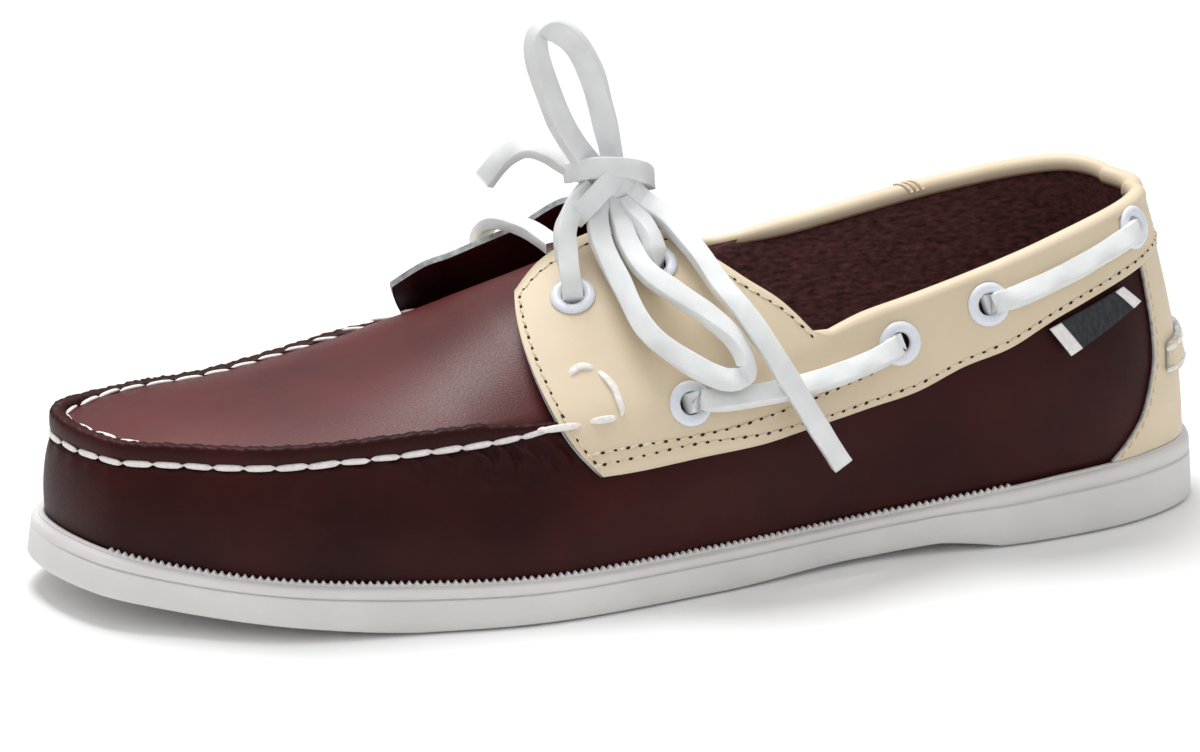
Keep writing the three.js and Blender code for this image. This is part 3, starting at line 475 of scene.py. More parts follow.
# Routes of the tie, with the direction out of the lace's flat face. They follow the CAD model's cords
# within about 2 mm and run on into the knot.
cordRoutes = {
    "laceLoopTall": [
        (157.4, 4.2, 89.8, -0.4, 0.9, 0.1), (161.2, 5, 93.8, -0.4, 0.9, 0.1),
        (167.4, 6, 102.7, -0.4, 0.9, 0.1), (171.2, 6, 111.7, -0.4, 0.9, 0),
        (173.6, 5, 119.8, -0.5, 0.85, 0), (172.8, 4, 124.6, -0.4, 0.75, -0.4),
        (168.7, 3, 125.2, 0.2, 0.85, -0.4), (163.2, 2, 121.0, 0.5, 0.85, -0.2),
        (158.9, 1, 113.7, 0.6, 0.8, 0), (156.2, 0, 105.7, 0.5, 0.85, 0), (154.4, 1, 97.5, 0.3, 0.95, 0),
        (153.8, 2.8, 91.4, 0.3, 0.95, 0)],
    "laceLoopHanging": [
        (157.4, 5.8, 87.0, 0.1, 0.95, 0.2), (159.6, 8.6, 82.4, 0.1, 0.85, 0.45),
        (160.6, 15, 76.6, 0.1, 0.75, 0.65), (159.4, 24.6, 70.2, 0.3, 0.8, 0.5),
        (156.6, 35.2, 61.4, 0.45, 0.75, 0.45), (148.8, 42.4, 55, 0.4, 0.65, 0.65),
        (140.6, 45.2, 51.2, 0.2, 0.6, 0.8), (136.0, 45.0, 53.0, -0.6, 0.7, 0.3),
        (137.4, 41.2, 59.0, -0.55, 0.7, 0.45), (142.4, 36.6, 64.2, -0.3, 0.8, 0.5),
        (148.2, 31.4, 68.4, 0, 0.85, 0.55), (153.4, 24.6, 72.4, 0.1, 0.75, 0.65),
        (155.0, 16.6, 77.2, 0, 0.8, 0.6), (154.6, 8.8, 82.8, 0, 0.9, 0.4),
        (154.2, 6.0, 87.2, 0, 0.98, 0.15)],
    "laceEndLong": [
        (151.6, 5.6, 88.0, -0.2, 0.95, 0.2), (148.8, 8.2, 84.8, -0.2, 0.85, 0.5),
        (144.4, 12.8, 81.2, -0.1, 0.75, 0.65), (140.6, 21.5, 76.0, 0, 0.75, 0.65),
        (137.4, 31.0, 69.4, 0.05, 0.82, 0.55), (133.4, 38.6, 63.4, 0.1, 0.87, 0.45),
        (129.0, 43.8, 55.6, 0.1, 0.93, 0.35), (122.4, 47.4, 44, 0.1, 0.97, 0.2),
        (116.7, 47.2, 35, 0.1, 0.98, 0.15), (112.4, 46.6, 28.6, 0.1, 0.98, 0.1)],
    "laceEndShort": [
        (156.4, 2.2, 89.2, -0.1, 0.9, 0.4), (160.6, 1.8, 90.4, -0.1, 0.85, 0.5),
        (165, 0.4, 92.6, -0.2, 0.75, 0.6), (168.8, -1.8, 95.0, -0.2, 0.7, 0.7),
        (173.2, -4, 96.0, 0, 0.65, 0.75), (177.6, -7, 92.8, 0.3, 0.65, 0.7),
        (181.6, -9, 87.2, 0.5, 0.65, 0.55)],
}


# CAD node that each piece of lace stands for.
laceNodes = {
    "laceLoopTall": "lace_loop_tall", "laceLoopHanging": "lace_loop_hanging", "laceEndLong": "lace_end_long",
    "laceEndShort": "lace_end_short", "laceCrossing": "lace_crossing", "laceRiseFront": "lace_rise_front",
    "laceRiseRear": "lace_rise_rear",
}


def makeCords():
    for name, points in cordRoutes.items():
        wide, thick = lace["tallLoop"] if name == "laceLoopTall" else (lace["wide"], lace["thick"])
        piece, route = strapPiece(name, points, wide, thick)
        line = toFrame(route[:, :3])
        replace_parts(piece, laceNodes[name])


makeCords()

# The heel breast rises to the arch between the two distances in breast; the arch sinks by archFall a mm.
sole = {"stations": 260, "bottomSpans": 14, "topSpans": 10, "breast": (66, 82), "archLift": 2.2,
        "archFall": 0.06, "archEnd": 100, "grooveParts": (0.73, 0.76), "grooveFilled": 0.96, "grooveEnd": 9.9}
# Side of the sole: part of its height and inset from the outline; the groove runs three quarters up.
soleProfile = [(0.0, 0.9), (0.03, 0.25), (0.08, 0.0), (0.3, 0.3), (0.55, 0.62), (0.70, 0.86), (0.722, 0.95),
               (0.738, 1.6), (0.757, 1.6), (0.773, 0.98), (0.86, 1.1), (0.93, 1.24), (0.97, 1.55), (1.0, 2.3)]


def soleBottom(x, u):
    arch = np.maximum(aroundRing("bottom", u), 0)
    start, end = sole["breast"]
    lift = (sole["archLift"] - (x - end) * sole["archFall"]) * np.clip((x - start) / (end - start), 0, 1)
    return np.where(x <= start, 0, np.where(x >= sole["archEnd"], arch, lift))


def makeOutsole():
    stations = steps(0, toe, sole["stations"])
    low, high = sole["grooveParts"]
    fade = np.clip((stations - sole["grooveEnd"]) / 0.8, 0, 1)
    halves = []
    for side in (lateral, medial):
        u = ringPlace(side, stations)
        bottom, top = soleBottom(outline(u)[:, 0], u), aroundRing("top", u)
        column = []
        for part, inset in soleProfile:
            filled = sole["grooveFilled"] if low < part < high else inset
            column.append(inFrom(u, inset + (filled - inset) * fade, bottom + (top - bottom) * part))
        halves.append(np.stack(column, 1))
    near, far = halves
    across = steps(0, 1, sole["topSpans"])[1:-1]
    topFace = np.stack([near[:, -1] * (1 - t) + far[:, -1] * t for t in across], 1)
    below = steps(0, 1, sole["bottomSpans"])[1:-1]
    bottomFace = np.stack([far[:, 0] * (1 - t) + near[:, 0] * t for t in below], 1)
    sections = np.concatenate([near, topFace, far[:, ::-1], bottomFace], 1)
    piece = loftPiece("outsole.visual", sections, "rubber")
    merge(piece, 0.02)
    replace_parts(piece, "outsole")


makeOutsole()
print("outsole made")

vamp = {"rings": 1000, "wallSteps": 44, "leather": 1.1, "stitch": 7.0, "pucker": 0.28, "puckerReach": 0.16,
        "seamDip": 0.9, "dipReach": 0.035, "lipStart": 5.8, "lipEnd": ringLength - 6.12}
# Creases below the seam: two ends as ring place and part of the wall's height, depth and half width.
creases = [
    ((6.25, 0.98), (6.16, 0.78), 0.8, 0.9), ((6.39, 0.98), (6.35, 0.88), 0.6, 0.7),
    ((6.46, 0.97), (6.34, 0.84), 0.8, 0.8), ((6.12, 0.97), (5.93, 0.86), 0.8, 0.8),
    ((6.1, 0.94), (5.96, 0.8), 0.7, 0.8), ((6.01, 0.92), (5.85, 0.68), 0.7, 1.1),
    ((6.59, 0.98), (6.5, 0.84), 0.5, 0.8), ((6.73, 0.98), (6.66, 0.87), 0.45, 0.8),
    ((6.97, 0.98), (6.88, 0.8), 0.45, 1.0), ((5.88, 0.92), (5.78, 0.76), 0.6, 0.9),
    ((6.84, 0.96), (6.72, 0.8), 0.4, 0.9), ((7.15, 0.98), (7.02, 0.84), 0.35, 1.0),
    ((7.4, 0.98), (7.28, 0.84), 0.3, 1.2), ((6.3, 0.76), (6.0, 0.56), 0.45, 1.6),
    ((6.55, 0.8), (6.25, 0.62), 0.4, 1.6), ((7.7, 0.98), (7.6, 0.88), 0.25, 1.2),
    ((15.8, 0.97), (16.25, 0.6), 0.6, 1.4), ((15.5, 0.98), (15.95, 0.68), 0.6, 1.2),
    ((15.2, 0.98), (15.6, 0.74), 0.5, 1.2), ((14.9, 0.98), (15.15, 0.8), 0.4, 1.2),
]


# Every crease bows sideways, is shallower at its ends and pushes up a low ridge on both sides.
crease = {"bow": 1.2, "endDepth": 0.35, "ridge": 0.45, "ridgeAt": 1.9}


def arcLengths(u):
    flat = outline(u)
    gaps = np.linalg.norm(np.diff(flat, axis=0), axis=1)
    return np.concatenate([[0], np.cumsum(gaps)])


def creaseDepth(u, v, table):
    uSpan, lengths = table
    heights = np.linalg.norm(rimPoint(uSpan) - footPoint(uSpan), axis=1)
    wall = np.interp(u % ringLength, uSpan, heights)
    spot = np.stack(np.broadcast_arrays(np.interp(u, uSpan, lengths), wall * v), -1)
    total = np.zeros(spot.shape[:-1])
    for startPlace, endPlace, depth, width in creases:
        start, end = (np.array([np.interp(at, uSpan, lengths), np.interp(at, uSpan, heights) * part])
                      for at, part in (startPlace, endPlace))
        run = end - start
        t = np.clip(((spot - start) @ run) / (run @ run), 0, 1)
        off = spot - start - t[..., None] * run
        side = np.sign(off[..., 0] * run[1] - off[..., 1] * run[0])
        distance = np.linalg.norm(off, axis=-1) * side - crease["bow"] * np.sin(math.pi * t)
        middle = np.sin(math.pi * np.clip(t, 0.04, 0.96)) ** 0.7
        local = depth * (crease["endDepth"] + (1 - crease["endDepth"]) * middle)
        ridge = (np.abs(distance) - crease["ridgeAt"] * width) / width
        total += local * (crease["ridge"] * np.exp(-ridge ** 2) - np.exp(-(distance / width) ** 2))
    return total


# Share of the lip's full height: it fades out behind its two ends.
def lipFactor(u):
    ends = np.minimum(u - vamp["lipStart"], vamp["lipEnd"] - u)
    return np.clip(0.25 + ends * 1.1, 0, 1) * (ends > -0.2)


# Height of the lip, higher round the toe and lower along the medial side.
def lipRise(u):
    toeward = 0.3 * np.exp(-((u - 11.4) / 0.9) ** 2)
    medially = 0.26 * np.clip((u - 11.6) * 1.2, 0, 1) * np.clip((16.4 - u) * 0.8, 0, 1)
    return sizes["lipHeight"] * (1 + toeward - medially)


# Raised lip of the seam: distance out from the rim, part of its height.
lipShape = [(-0.5, 0.03), (-0.35, 0.12), (0.0, 0.3), (0.05, 0.6), (-0.1, 0.86), (-0.45, 0.97), (-1.1, 1.0),
            (-2.3, 0.985), (-3.2, 0.93), (-3.7, 0.84), (-3.8, 0.5), (-3.8, -0.3)]
# Unevenness of the lip's top: height, turns along the seam and start.
lipWaves = [(0.12, 1.9, 0), (0.1, 0.83, 1), (0.07, 3.7, 0)]


def makeVamp():
    u = steps(0, ringLength, vamp["rings"])[:-1]
    v = steps(0, 1, vamp["wallSteps"]) ** 0.85
    uSpan = steps(0, ringLength, 1200)
    table = (uSpan, arcLengths(uSpan))
    place = np.interp(u, *table)
    lip = lipFactor(u)
    folds = creaseDepth(u[:, None], v[None], table)
    wave = 0.5 + 0.5 * np.cos(2 * math.pi * place / vamp["stitch"])
    gathers = vamp["pucker"] * wave[:, None] * np.exp(-((1 - v[None]) / vamp["puckerReach"]) ** 2)
    seamDip = vamp["seamDip"] * np.exp(-((1 - v[None]) / vamp["dipReach"]) ** 2)
    raised = folds - (gathers + seamDip) * lip[:, None]
    normal = wallNormal(u[:, None], v[None])
    wall = wallPoint(u[:, None], v[None]) + normal * raised[..., None]
    rim, out, height = rimPoint(u), outward(u), lipRise(u)
    rough = sum(size * np.sin(place * turns + start) for size, turns, start in lipWaves)
    lipRows = []
    for offset, part in lipShape:
        reach = np.where(lip > 0, offset, -vamp["leather"] * 0.5)
        point = rim + out * reach[:, None]
        lifted = (part * height + rough * (part > 0.8)) * lip
        point[:, 2] += np.where(lip > 0, lifted, 0.3 * part)
        lipRows.append(point)
    innerV = steps(1, 0, 12)[None]
    inner = wallPoint(u[:, None], innerV) - wallNormal(u[:, None], innerV) * vamp["leather"]
    sections = np.concatenate([wall, np.stack(lipRows, 1), inner], 1)
    piece = ringPiece("vamp", sections, "oxblood")
    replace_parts(piece, "upper")


plug = {"rear": 5.0, "spineEnd": 10.35, "across": 30, "along": 150, "thick": 1.5, "drop": 0.75, "sunk": 2.6}


# Plug between the lips: each edge point runs to a spine that ends short of the toe. On the lateral side
# the edge is sunk behind the toe, so that the lip stands clear of it.
def plugPoint(side, i, s, depth=0.0):
    i, s = np.broadcast_arrays(np.asarray(i, float), np.asarray(s, float))
    u = ringPlace(side, i)
    lip = np.clip(0.25 + (i - 5.8) * 1.1, 0, 1) * np.clip((i - 5.4) * 3, 0, 1)
    edge = rimPoint(u) - outward(u) * (sizes["lipWidth"] - 0.2) * np.clip((i - 5.2) * 2.5, 0, 1)[..., None]
    sunk = plug["sunk"] * np.clip((9.9 - i) * 1.2, 0, 1) * (side == lateral)
    edge[..., 2] += lip * (np.minimum(lipRise(u), sizes["lipHeight"]) - plug["drop"] - sunk)
    spineAt = plug["rear"] + (i - plug["rear"]) * (plug["spineEnd"] - plug["rear"]) / (toe - plug["rear"])
    blend = np.clip((i - 5.6) / 1.6, 0, 1)[..., None]
    spine = crownPoint(i) * (1 - blend) + crownPoint(spineAt) * blend
    level = (rimPoint(i)[..., 2] + rimPoint(ringLength - i)[..., 2]) / 2 + lip * 2.9 + 1.0
    spine[..., 2] = np.log(np.exp(spine[..., 2] / 1.5) + np.exp(level / 1.5)) * 1.5 - 0.35
    point = edge * (1 - s[..., None]) + spine * s[..., None]
    point[..., 2] = edge[..., 2] + (spine[..., 2] - edge[..., 2]) * (1 - (1 - s) ** 2) - depth
    return point


def makePlug():
    i = steps(plug["rear"], toe, plug["along"])
    near = steps(0, 1, plug["across"] // 2)
    grids = []
    for depth in (0.0, plug["thick"]):
        halfNear = plugPoint(lateral, i[:, None], near[None], depth)
        halfFar = plugPoint(medial, i[:, None], near[::-1][None][:, 1:], depth)
        grids.append(np.concatenate([halfNear, halfFar], 1))
    merge(sheetPiece("plug", *grids, "plug", "oxblood_leather"), 0.03)


# Lining of the quarters, from the wall's inner side inwards.
lining = {"front": 6.6, "outer": 1.25, "overRim": 1.2, "spans": 130}


def makeLining():
    front = lining["front"]
    u = np.concatenate([steps(ringLength - front, ringLength, lining["spans"])[:-1],
                        steps(0, front, lining["spans"])])[:, None]
    v = steps(0.02, 1.0, 20)[None]
    outer = wallPoint(u, v) - wallNormal(u, v) * lining["outer"]
    inner = wallPoint(u, v) - wallNormal(u, v) * sizes["wall"]
    for grid in (outer, inner):
        grid[:, -1, 2] += lining["overRim"]
    sheetPiece("quarterLining", outer, inner, "suede", "lining_suede")


# Footbed: play at the wall, then how far its edge draws in at each height.
footbed = {"play": 0.9, "edge": [(0.9, 0.0), (0.0, 0.5), (0.0, 2.6), (0.9, 3.3)], "spans": 120}


def makeInsole():
    i = steps(0, toe, footbed["spans"])
    inset = sizes["ledge"] + sizes["wall"] + footbed["play"]
    halves = []
    for side in (lateral, medial):
        u = ringPlace(side, i)
        low = aroundRing("top", u) + sizes["footLift"]
        halves.append(np.stack([inFrom(u, inset + more, low + z) for more, z in footbed["edge"]], 1))
    near, far = halves
    across = steps(0, 1, 12)[1:-1]
    topFace = np.stack([near[:, -1] * (1 - t) + far[:, -1] * t for t in across], 1)
    piece = loftPiece("footbed", np.concatenate([near, topFace, far[:, ::-1]], 1), "suede")
    merge(piece, 0.03)
    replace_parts(piece, "insole")


# Tongue: first and last station, half width as a share of the way to the rim, depth under the last.
tongue = {"rear": 4.95, "front": 5.75, "spread": 0.46, "depth": sizes["wall"] + 0.9, "thick": 2.0}


def makeTongue():
    along, across = steps(0, 1, 40), steps(-1, 1, 48)
    i = tongue["rear"] + (tongue["front"] - tongue["rear"]) * along[:, None] + 0.1 * across[None] ** 2
    i, b = np.broadcast_arrays(i, across[None])
    t = 1 - tongue["spread"] * np.abs(b) * (0.75 + 0.25 * along[:, None])
    grids = []
    for deep in (tongue["depth"], tongue["depth"] + tongue["thick"]):
        near, far = (topPoint(side, i, t) - topNormal(side, i, t) * deep for side in (lateral, medial))
        grids.append(np.where((b < 0)[..., None], near, far))
    piece = sheetPiece("tongue.visual", *grids, "oxblood", "oxblood_leather", innerFinish="suede")
    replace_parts(piece, "tongue")


makeVamp()
makePlug()
makeLining()
makeInsole()
makeTongue()
print("upper made")

# Lower edge and upper edge as station and place, lift of the upper edge, forward bow, share of the roll.
lateralCollar = np.array([
    (5.66, 0.32, 5.8, 0.87, 2.5, 0.16, 0), (5.53, 0.313, 5.62, 0.92, 4, 0.1, 0),
    (5.39, 0.308, 5.42, 0.94, 4.5, 0.04, 0), (5.24, 0.305, 5.22, 0.93, 4, 0, 0),
    (5.08, 0.301, 5.06, 0.87, 3, 0, 0), (4.9, 0.295, 4.9, 0.77, 2.5, 0, 0),
    (4.71, 0.291, 4.7, 0.67, 2, 0, 0), (4.5, 0.294, 4.5, 0.597, 1.2, 0, 0),
    (4.34, 0.296, 4.34, 0.527, 0.4, 0, 0.1)])
medialCollar = np.array([
    (5.85, 0.318, 6.28, 0.6, 7, 0.1, 0), (5.7, 0.312, 6.06, 0.68, 8, 0.05, 0),
    (5.52, 0.307, 5.86, 0.66, 8, 0, 0), (5.36, 0.304, 5.66, 0.64, 9, 0, 0),
    (5.2, 0.301, 5.46, 0.65, 10, 0, 0), (5.05, 0.299, 5.24, 0.71, 11, 0, 0),
    (4.9, 0.295, 5, 0.68, 6, 0, 0), (4.71, 0.291, 4.74, 0.6, 3, 0, 0.05),
    (4.5, 0.294, 4.5, 0.53, 0.5, 0, 0.4), (4.34, 0.296, 4.34, 0.505, 0.1, 0, 0.6)])
# Lower edge of the band at each station behind the eyestays.
bandEdge = np.array([
    (4.22, 0.297), (4, 0.3), (3.75, 0.304), (3.5, 0.328), (3.25, 0.335), (3, 0.359), (2.75, 0.371),
    (2.5, 0.381), (2.25, 0.389), (2, 0.396), (1.5, 0.407), (1, 0.412), (0.5, 0.415), (0, 0.415)])
band = np.array([(i, q, i, 0.5, 0, 0, min(1, 0.7 + (4.22 - i) * 1.6)) for i, q in bandEdge])
# The roll ends in a turned-under edge: reach from the rim and rise. Below flapShare of the roll the edge
# is a cut one.
collar = {"across": 22, "rollTurns": np.radians([15, 40, 65, 90, 115, 140, 165, 190, 212]),
          "under": [(-2.45, -0.2), (-2.4, 0.9), (sizes["overlayGap"], 0.9)], "rollLift": 1, "flapShare": 0.02}


def collarPoint(side, row, w, grow):
    w = np.asarray(w, float)
    i = row[..., 0] + (row[..., 2] - row[..., 0]) * w + row[..., 5] * 4 * w * (1 - w)
    q = row[..., 1] + (row[..., 3] - row[..., 1]) * w
    return lastPoint(side, i, q, grow + row[..., 4] * w * w)


def collarSections(side, rows):
    w = steps(0, 1, collar["across"])
    outer = collarPoint(side, rows[:, None], w[None], outerFace)
    inner = collarPoint(side, rows[:, None], w[None], sizes["overlayGap"])[:, ::-1]
    u = ringPlace(side, rows[:, 2])
    centre, roll = outerFace - sizes["roll"], sizes["roll"]
    path = [(centre + roll * math.cos(turn), collar["rollLift"] + roll * math.sin(turn))
            for turn in collar["rollTurns"]]
    padded = np.stack([rimPoint(u) + outward(u) * reach + (0, 0, rise)
                       for reach, rise in path + collar["under"]], 1)
    t = (np.arange(padded.shape[1]) + 1) / (padded.shape[1] + 1)
    plain = outer[:, -1:] * (1 - t)[None, :, None] + inner[:, :1] * t[None, :, None]
    share = rows[:, 6][:, None, None]
    return np.concatenate([outer, plain * (1 - share) + padded * share, inner], 1)


def finer(rows, parts):
    return alongRows(rows, steps(0, len(rows) - 1, (len(rows) - 1) * parts))


def makeCollar():
    nearRows, farRows, bandRows = finer(lateralCollar, 10), finer(medialCollar, 10), finer(band, 10)
    sections = np.concatenate([
        collarSections(lateral, nearRows), collarSections(lateral, bandRows),
        collarSections(medial, bandRows[:-1])[::-1], collarSections(medial, farRows)[::-1]])
    roll = np.concatenate([nearRows[:, 6], bandRows[:, 6], bandRows[:-1, 6][::-1], farRows[:, 6][::-1]])
    rows, columns = sections.shape[:2]
    faces = loftFaces(rows, columns)
    last = collar["across"]
    edge = range(last, last + len(collar["rollTurns"]) + 4)
    cream, cut, back = range(3)
    choice = []
    for k, face in enumerate(faces):
        r, c = divmod(k, columns)
        if len(face) > 4 or c == columns - 1:
            choice.append(cut)
        elif c in edge:
            choice.append(cut if roll[r] < collar["flapShare"] else cream)
        else:
            choice.append(back if c > last else cream)
    piece = newPiece("collar.visual", sections.reshape(-1, 3), faces, ["cream", "rawEdge", "oxblood"],
                     choice=choice)
    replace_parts(piece, "collar")
    return piece


# On an eyestay: collar row and place across it. On the band: station and place on the last.
stayEyelets = {lateral: {"throat_front": (1.5, 0.74), "throat_rear": (3.5, 0.78), "run_front": (3.5, 0.26)},
               medial: {"throat_front": (3.5, 0.72), "throat_rear": (5.5, 0.76), "run_front": (4.8, 0.4)}}
bandEyelets = {"run_mid_front": (3.84, 0.436), "run_mid_rear": (3.36, 0.451), "run_rear": (2.07, 0.473)}
sideWords = {lateral: "lateral", medial: "medial"}
# Radii of the hole and the flange, depth of a drill right through and of one that stays in the leather.
eyelet = {"hole": 2.6, "outer": 5.3, "play": 0.2, "through": 5.0, "blind": 0.9}


# Centre and direction out of the leather for each eyelet.
def eyeletFrames():
    frames = {}
    heart = np.array([140, 0, 30])
    for side, rows in ((lateral, lateralCollar), (medial, medialCollar)):
        places = {name: (lambda a, b, row=row, w=w:
                         collarPoint(side, alongRows(rows, row + a), w + b, outerFace))
                  for name, (row, w) in stayEyelets[side].items()}
        places.update({name: (lambda a, b, i=i, q=q: lastPoint(side, i + a, q + b, outerFace))
                       for name, (i, q) in bandEyelets.items()})
        for name, at in places.items():
            centre = at(0, 0)
            normal = unit(np.cross(at(0.05, 0) - at(-0.05, 0), at(0, 0.02) - at(0, -0.02)))
            outwards = 1 if np.dot(centre - heart, normal) >= 0 else -1
            frames[f"{sideWords[side]}_{name}"] = (centre, normal * outwards)
    return frames


eyelets = eyeletFrames()


# Body of revolution round an eyelet's axis: radius and height rows, closed.
def turnedPiece(name, profile, centre, normal, finish, segments=48):
    helper = np.array([0, 0, 1.0]) if abs(normal[2]) < 0.9 else np.array([1.0, 0, 0])
    first = unit(np.cross(helper, normal))
    second = np.cross(normal, first)
    turns = steps(0, 2 * math.pi, segments)[:-1]
    ring = first[None] * np.cos(turns)[:, None] + second[None] * np.sin(turns)[:, None]
    sections = np.array([centre + ring * radius + normal * height for radius, height in profile])
    return ringPiece(name, sections, finish)


def makeEyelets(collarPiece):
    hole, outer, through = eyelet["hole"], eyelet["outer"], eyelet["through"]
    wide = hole + eyelet["play"]
    flange = [(outer, 0.02), (outer - 0.06, 0.35), (outer - 0.4, 0.72), (outer - 1.0, 0.95),
              (hole + 1.0, 0.98), (hole + 0.45, 0.82), (hole + 0.08, 0.4), (hole, -0.2), (hole, -0.8),
              (hole + 0.3, -0.8), (hole + 0.35, -0.3), (outer - 0.6, -0.05)]
    cutters = []
    for name, (centre, normal) in eyelets.items():
        piece = turnedPiece(f"eyelet.{name}", flange, centre, normal, "enamel")
        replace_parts(piece, f"eyelet_{name}")
        deep = eyelet["blind"] if name.startswith("medial_throat") else through
        drill = [(0.01, -deep), (wide, -deep), (wide, through), (0.01, through)]
        cutters.append(turnedPiece(f"drill.{name}", drill, centre, normal, "awlHole", 28))
    for cutter in cutters:
        cut = collarPiece.modifiers.new("hole", "BOOLEAN")
        cut.operation = "DIFFERENCE"
        cut.object = cutter
        cut.solver = "EXACT"
    applyModifiers(collarPiece)
    for cutter in cutters:
        bpy.data.objects.remove(cutter)


collarPiece = makeCollar()
makeEyelets(collarPiece)
print("collar and eyelets made")

# Front edge of the counter: place up the last and station.
counterEdge = np.array([(0.004, 2.33), (0.042, 2.16), (0.089, 2), (0.147, 1.9), (0.196, 1.84), (0.263, 1.86),
                        (0.314, 1.91), (0.404, 1.99)])


def overHeel(station, q, grow):
    station, q, grow = np.broadcast_arrays(*(np.asarray(value, float) for value in (station, q, grow)))
    near = lastPoint(lateral, np.abs(station), q, grow)
    far = lastPoint(medial, np.abs(station), q, grow)
    return np.where((station >= 0)[..., None], near, far)


counter = {"off": 0.2, "leather": 1.1, "skived": 0.85, "rise": 0.02}
# The tab's reach in stations, its lower edge and height up the last, how far its ends round off.
heelTab = {"reach": 1.6, "low": 0.156, "high": 0.063, "rounding": 0.06, "off": 1.5}


def makeCounter():
    up, across = steps(0, len(counterEdge) - 1, 40), steps(-1, 1, 120)
    edge = alongRows(counterEdge, up)
    q = edge[:, :1] + counter["rise"] * (up / up[-1])[:, None] * (1 - across[None] ** 2)
    station = edge[:, 1:] * across[None]
    full = np.clip((1 - np.abs(across)) * 40, 0, 1)[None]
    leather = counter["leather"] * (counter["skived"] + (1 - counter["skived"]) * full)
    outer, inner = (overHeel(station, q, counter["off"] + more) for more in (leather, 0))
    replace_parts(sheetPiece("heelCounter", outer, inner, "cream", "cream_leather", "rawEdge"), "heel_counter")


def makeHeelTab():
    a, b = steps(-1, 1, 90)[:, None], steps(0, 1, 12)[None]
    station = a * (heelTab["reach"] - heelTab["rounding"] * np.abs(2 * b - 1) ** 6)
    q = heelTab["low"] + heelTab["high"] * b
    skive = np.clip((1 - np.abs(a)) * 30, 0.5, 1)
    outer, inner = (overHeel(station, q, heelTab["off"] + more) for more in (0.05 + 1.5 * skive, 0))
    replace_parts(sheetPiece("heelTab", outer, inner, "cream", "cream_leather", "rawEdge"), "heel_tab")


# Side tab: station of its front end, run to the rear and slant; place and height up the last at the front
# and their change to the rear; how far its loose lower edge stands off; the pale ends.
sideTab = {"front": 2.98, "run": 0.7, "slant": 0.15, "low": 0.276, "climb": 0.057, "high": 0.07,
           "narrowing": 0.031, "loose": 1.5, "ends": {"Front": (0.0, 0.14), "Rear": (0.87, 1.0)}}


def tabPoint(a, b, grow):
    i = sideTab["front"] - sideTab["run"] * a - sideTab["slant"] * (1 - b)
    q = sideTab["low"] + sideTab["climb"] * a + (sideTab["high"] - sideTab["narrowing"] * a) * b
    return lastPoint(lateral, i, q, sizes["overlayGap"] + sideTab["loose"] * (1 - b) + grow)


def makeSideTab():
    a, b = steps(0, 1, 40)[:, None], steps(0, 1, 14)[None]
    piece = sheetPiece("sideTab", tabPoint(a, b, 0.9), tabPoint(a, b, 0.2), "webbing", "tab_webbing")
    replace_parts(piece, "side_tab")
    for name, (start, end) in sideTab["ends"].items():
        a = steps(start, end, 6)[:, None]
        sheetPiece(f"tabEnd{name}", tabPoint(a, b, 1.15), tabPoint(a, b, 0.95), "thread", "lace_leather")


makeCounter()
makeHeelTab()
makeSideTab()
print("heel and tabs made")

# Height of the lace's middle over an eyelet, and how far each bar bows out and hangs down.
overEyelet = 1.0 + lace["thick"] / 2 + 0.25
bars = {"front": (("run_front", "run_mid_front"), {"out": 3.2, "down": 2.6}),
        "rear": (("run_mid_rear", "run_rear"), {"out": 1.2, "down": 1.4})}


# Bar between two eyelets: out of the first, along the collar a little slack, into the second.
def barRoute(side, startName, endName, slack):
    (startCentre, startNormal), (endCentre, endNormal) = (
        eyelets[f"{sideWords[side]}_{name}"] for name in (startName, endName))
    run = unit(endCentre - startCentre)
    points = [(*(startCentre - startNormal * 3.2 + run * 0.2), *run),
              (*(startCentre - startNormal * 0.6 + run * 0.5), *(run * 0.9 + startNormal * 0.3)),
              (*(startCentre + startNormal * (overEyelet - 0.3) + run * 2.2), *(startNormal + run * 0.4))]
    for t in steps(0, 1, 8)[1:-1]:
        centre = startCentre * (1 - t) + endCentre * t
        normal = unit(startNormal * (1 - t) + endNormal * t)
        bulge = 4 * t * (1 - t)
        points.append((*(centre + normal * (overEyelet + slack["out"] * bulge)
                         - np.array([0, 0, slack["down"] * bulge])), *unit(normal + (0, 0, 0.75))))
    points += [(*(endCentre + endNormal * (overEyelet - 0.3) - run * 2.2), *(endNormal - run * 0.4)),
               (*(endCentre - endNormal * 0.6 - run * 0.5), *(endNormal * 0.3 - run * 0.9)),
               (*(endCentre - endNormal * 3.2 - run * 0.2), *(-run))]
    return points


def makeBars():
    for side, word in sideWords.items():
        for name, (ends, slack) in bars.items():
            piece, _ = strapPiece(f"laceRun.{word}.{name}", barRoute(side, *ends, slack))
            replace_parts(piece, f"lace_run_{word}_{name}")


def intoEyelet(name, rows):
    centre, normal = eyelets[name]
    lead = [(*(centre - normal * 3.4), *rows[0][3:]), (*(centre + normal * 0.4), *rows[0][3:])]
    return lead + rows


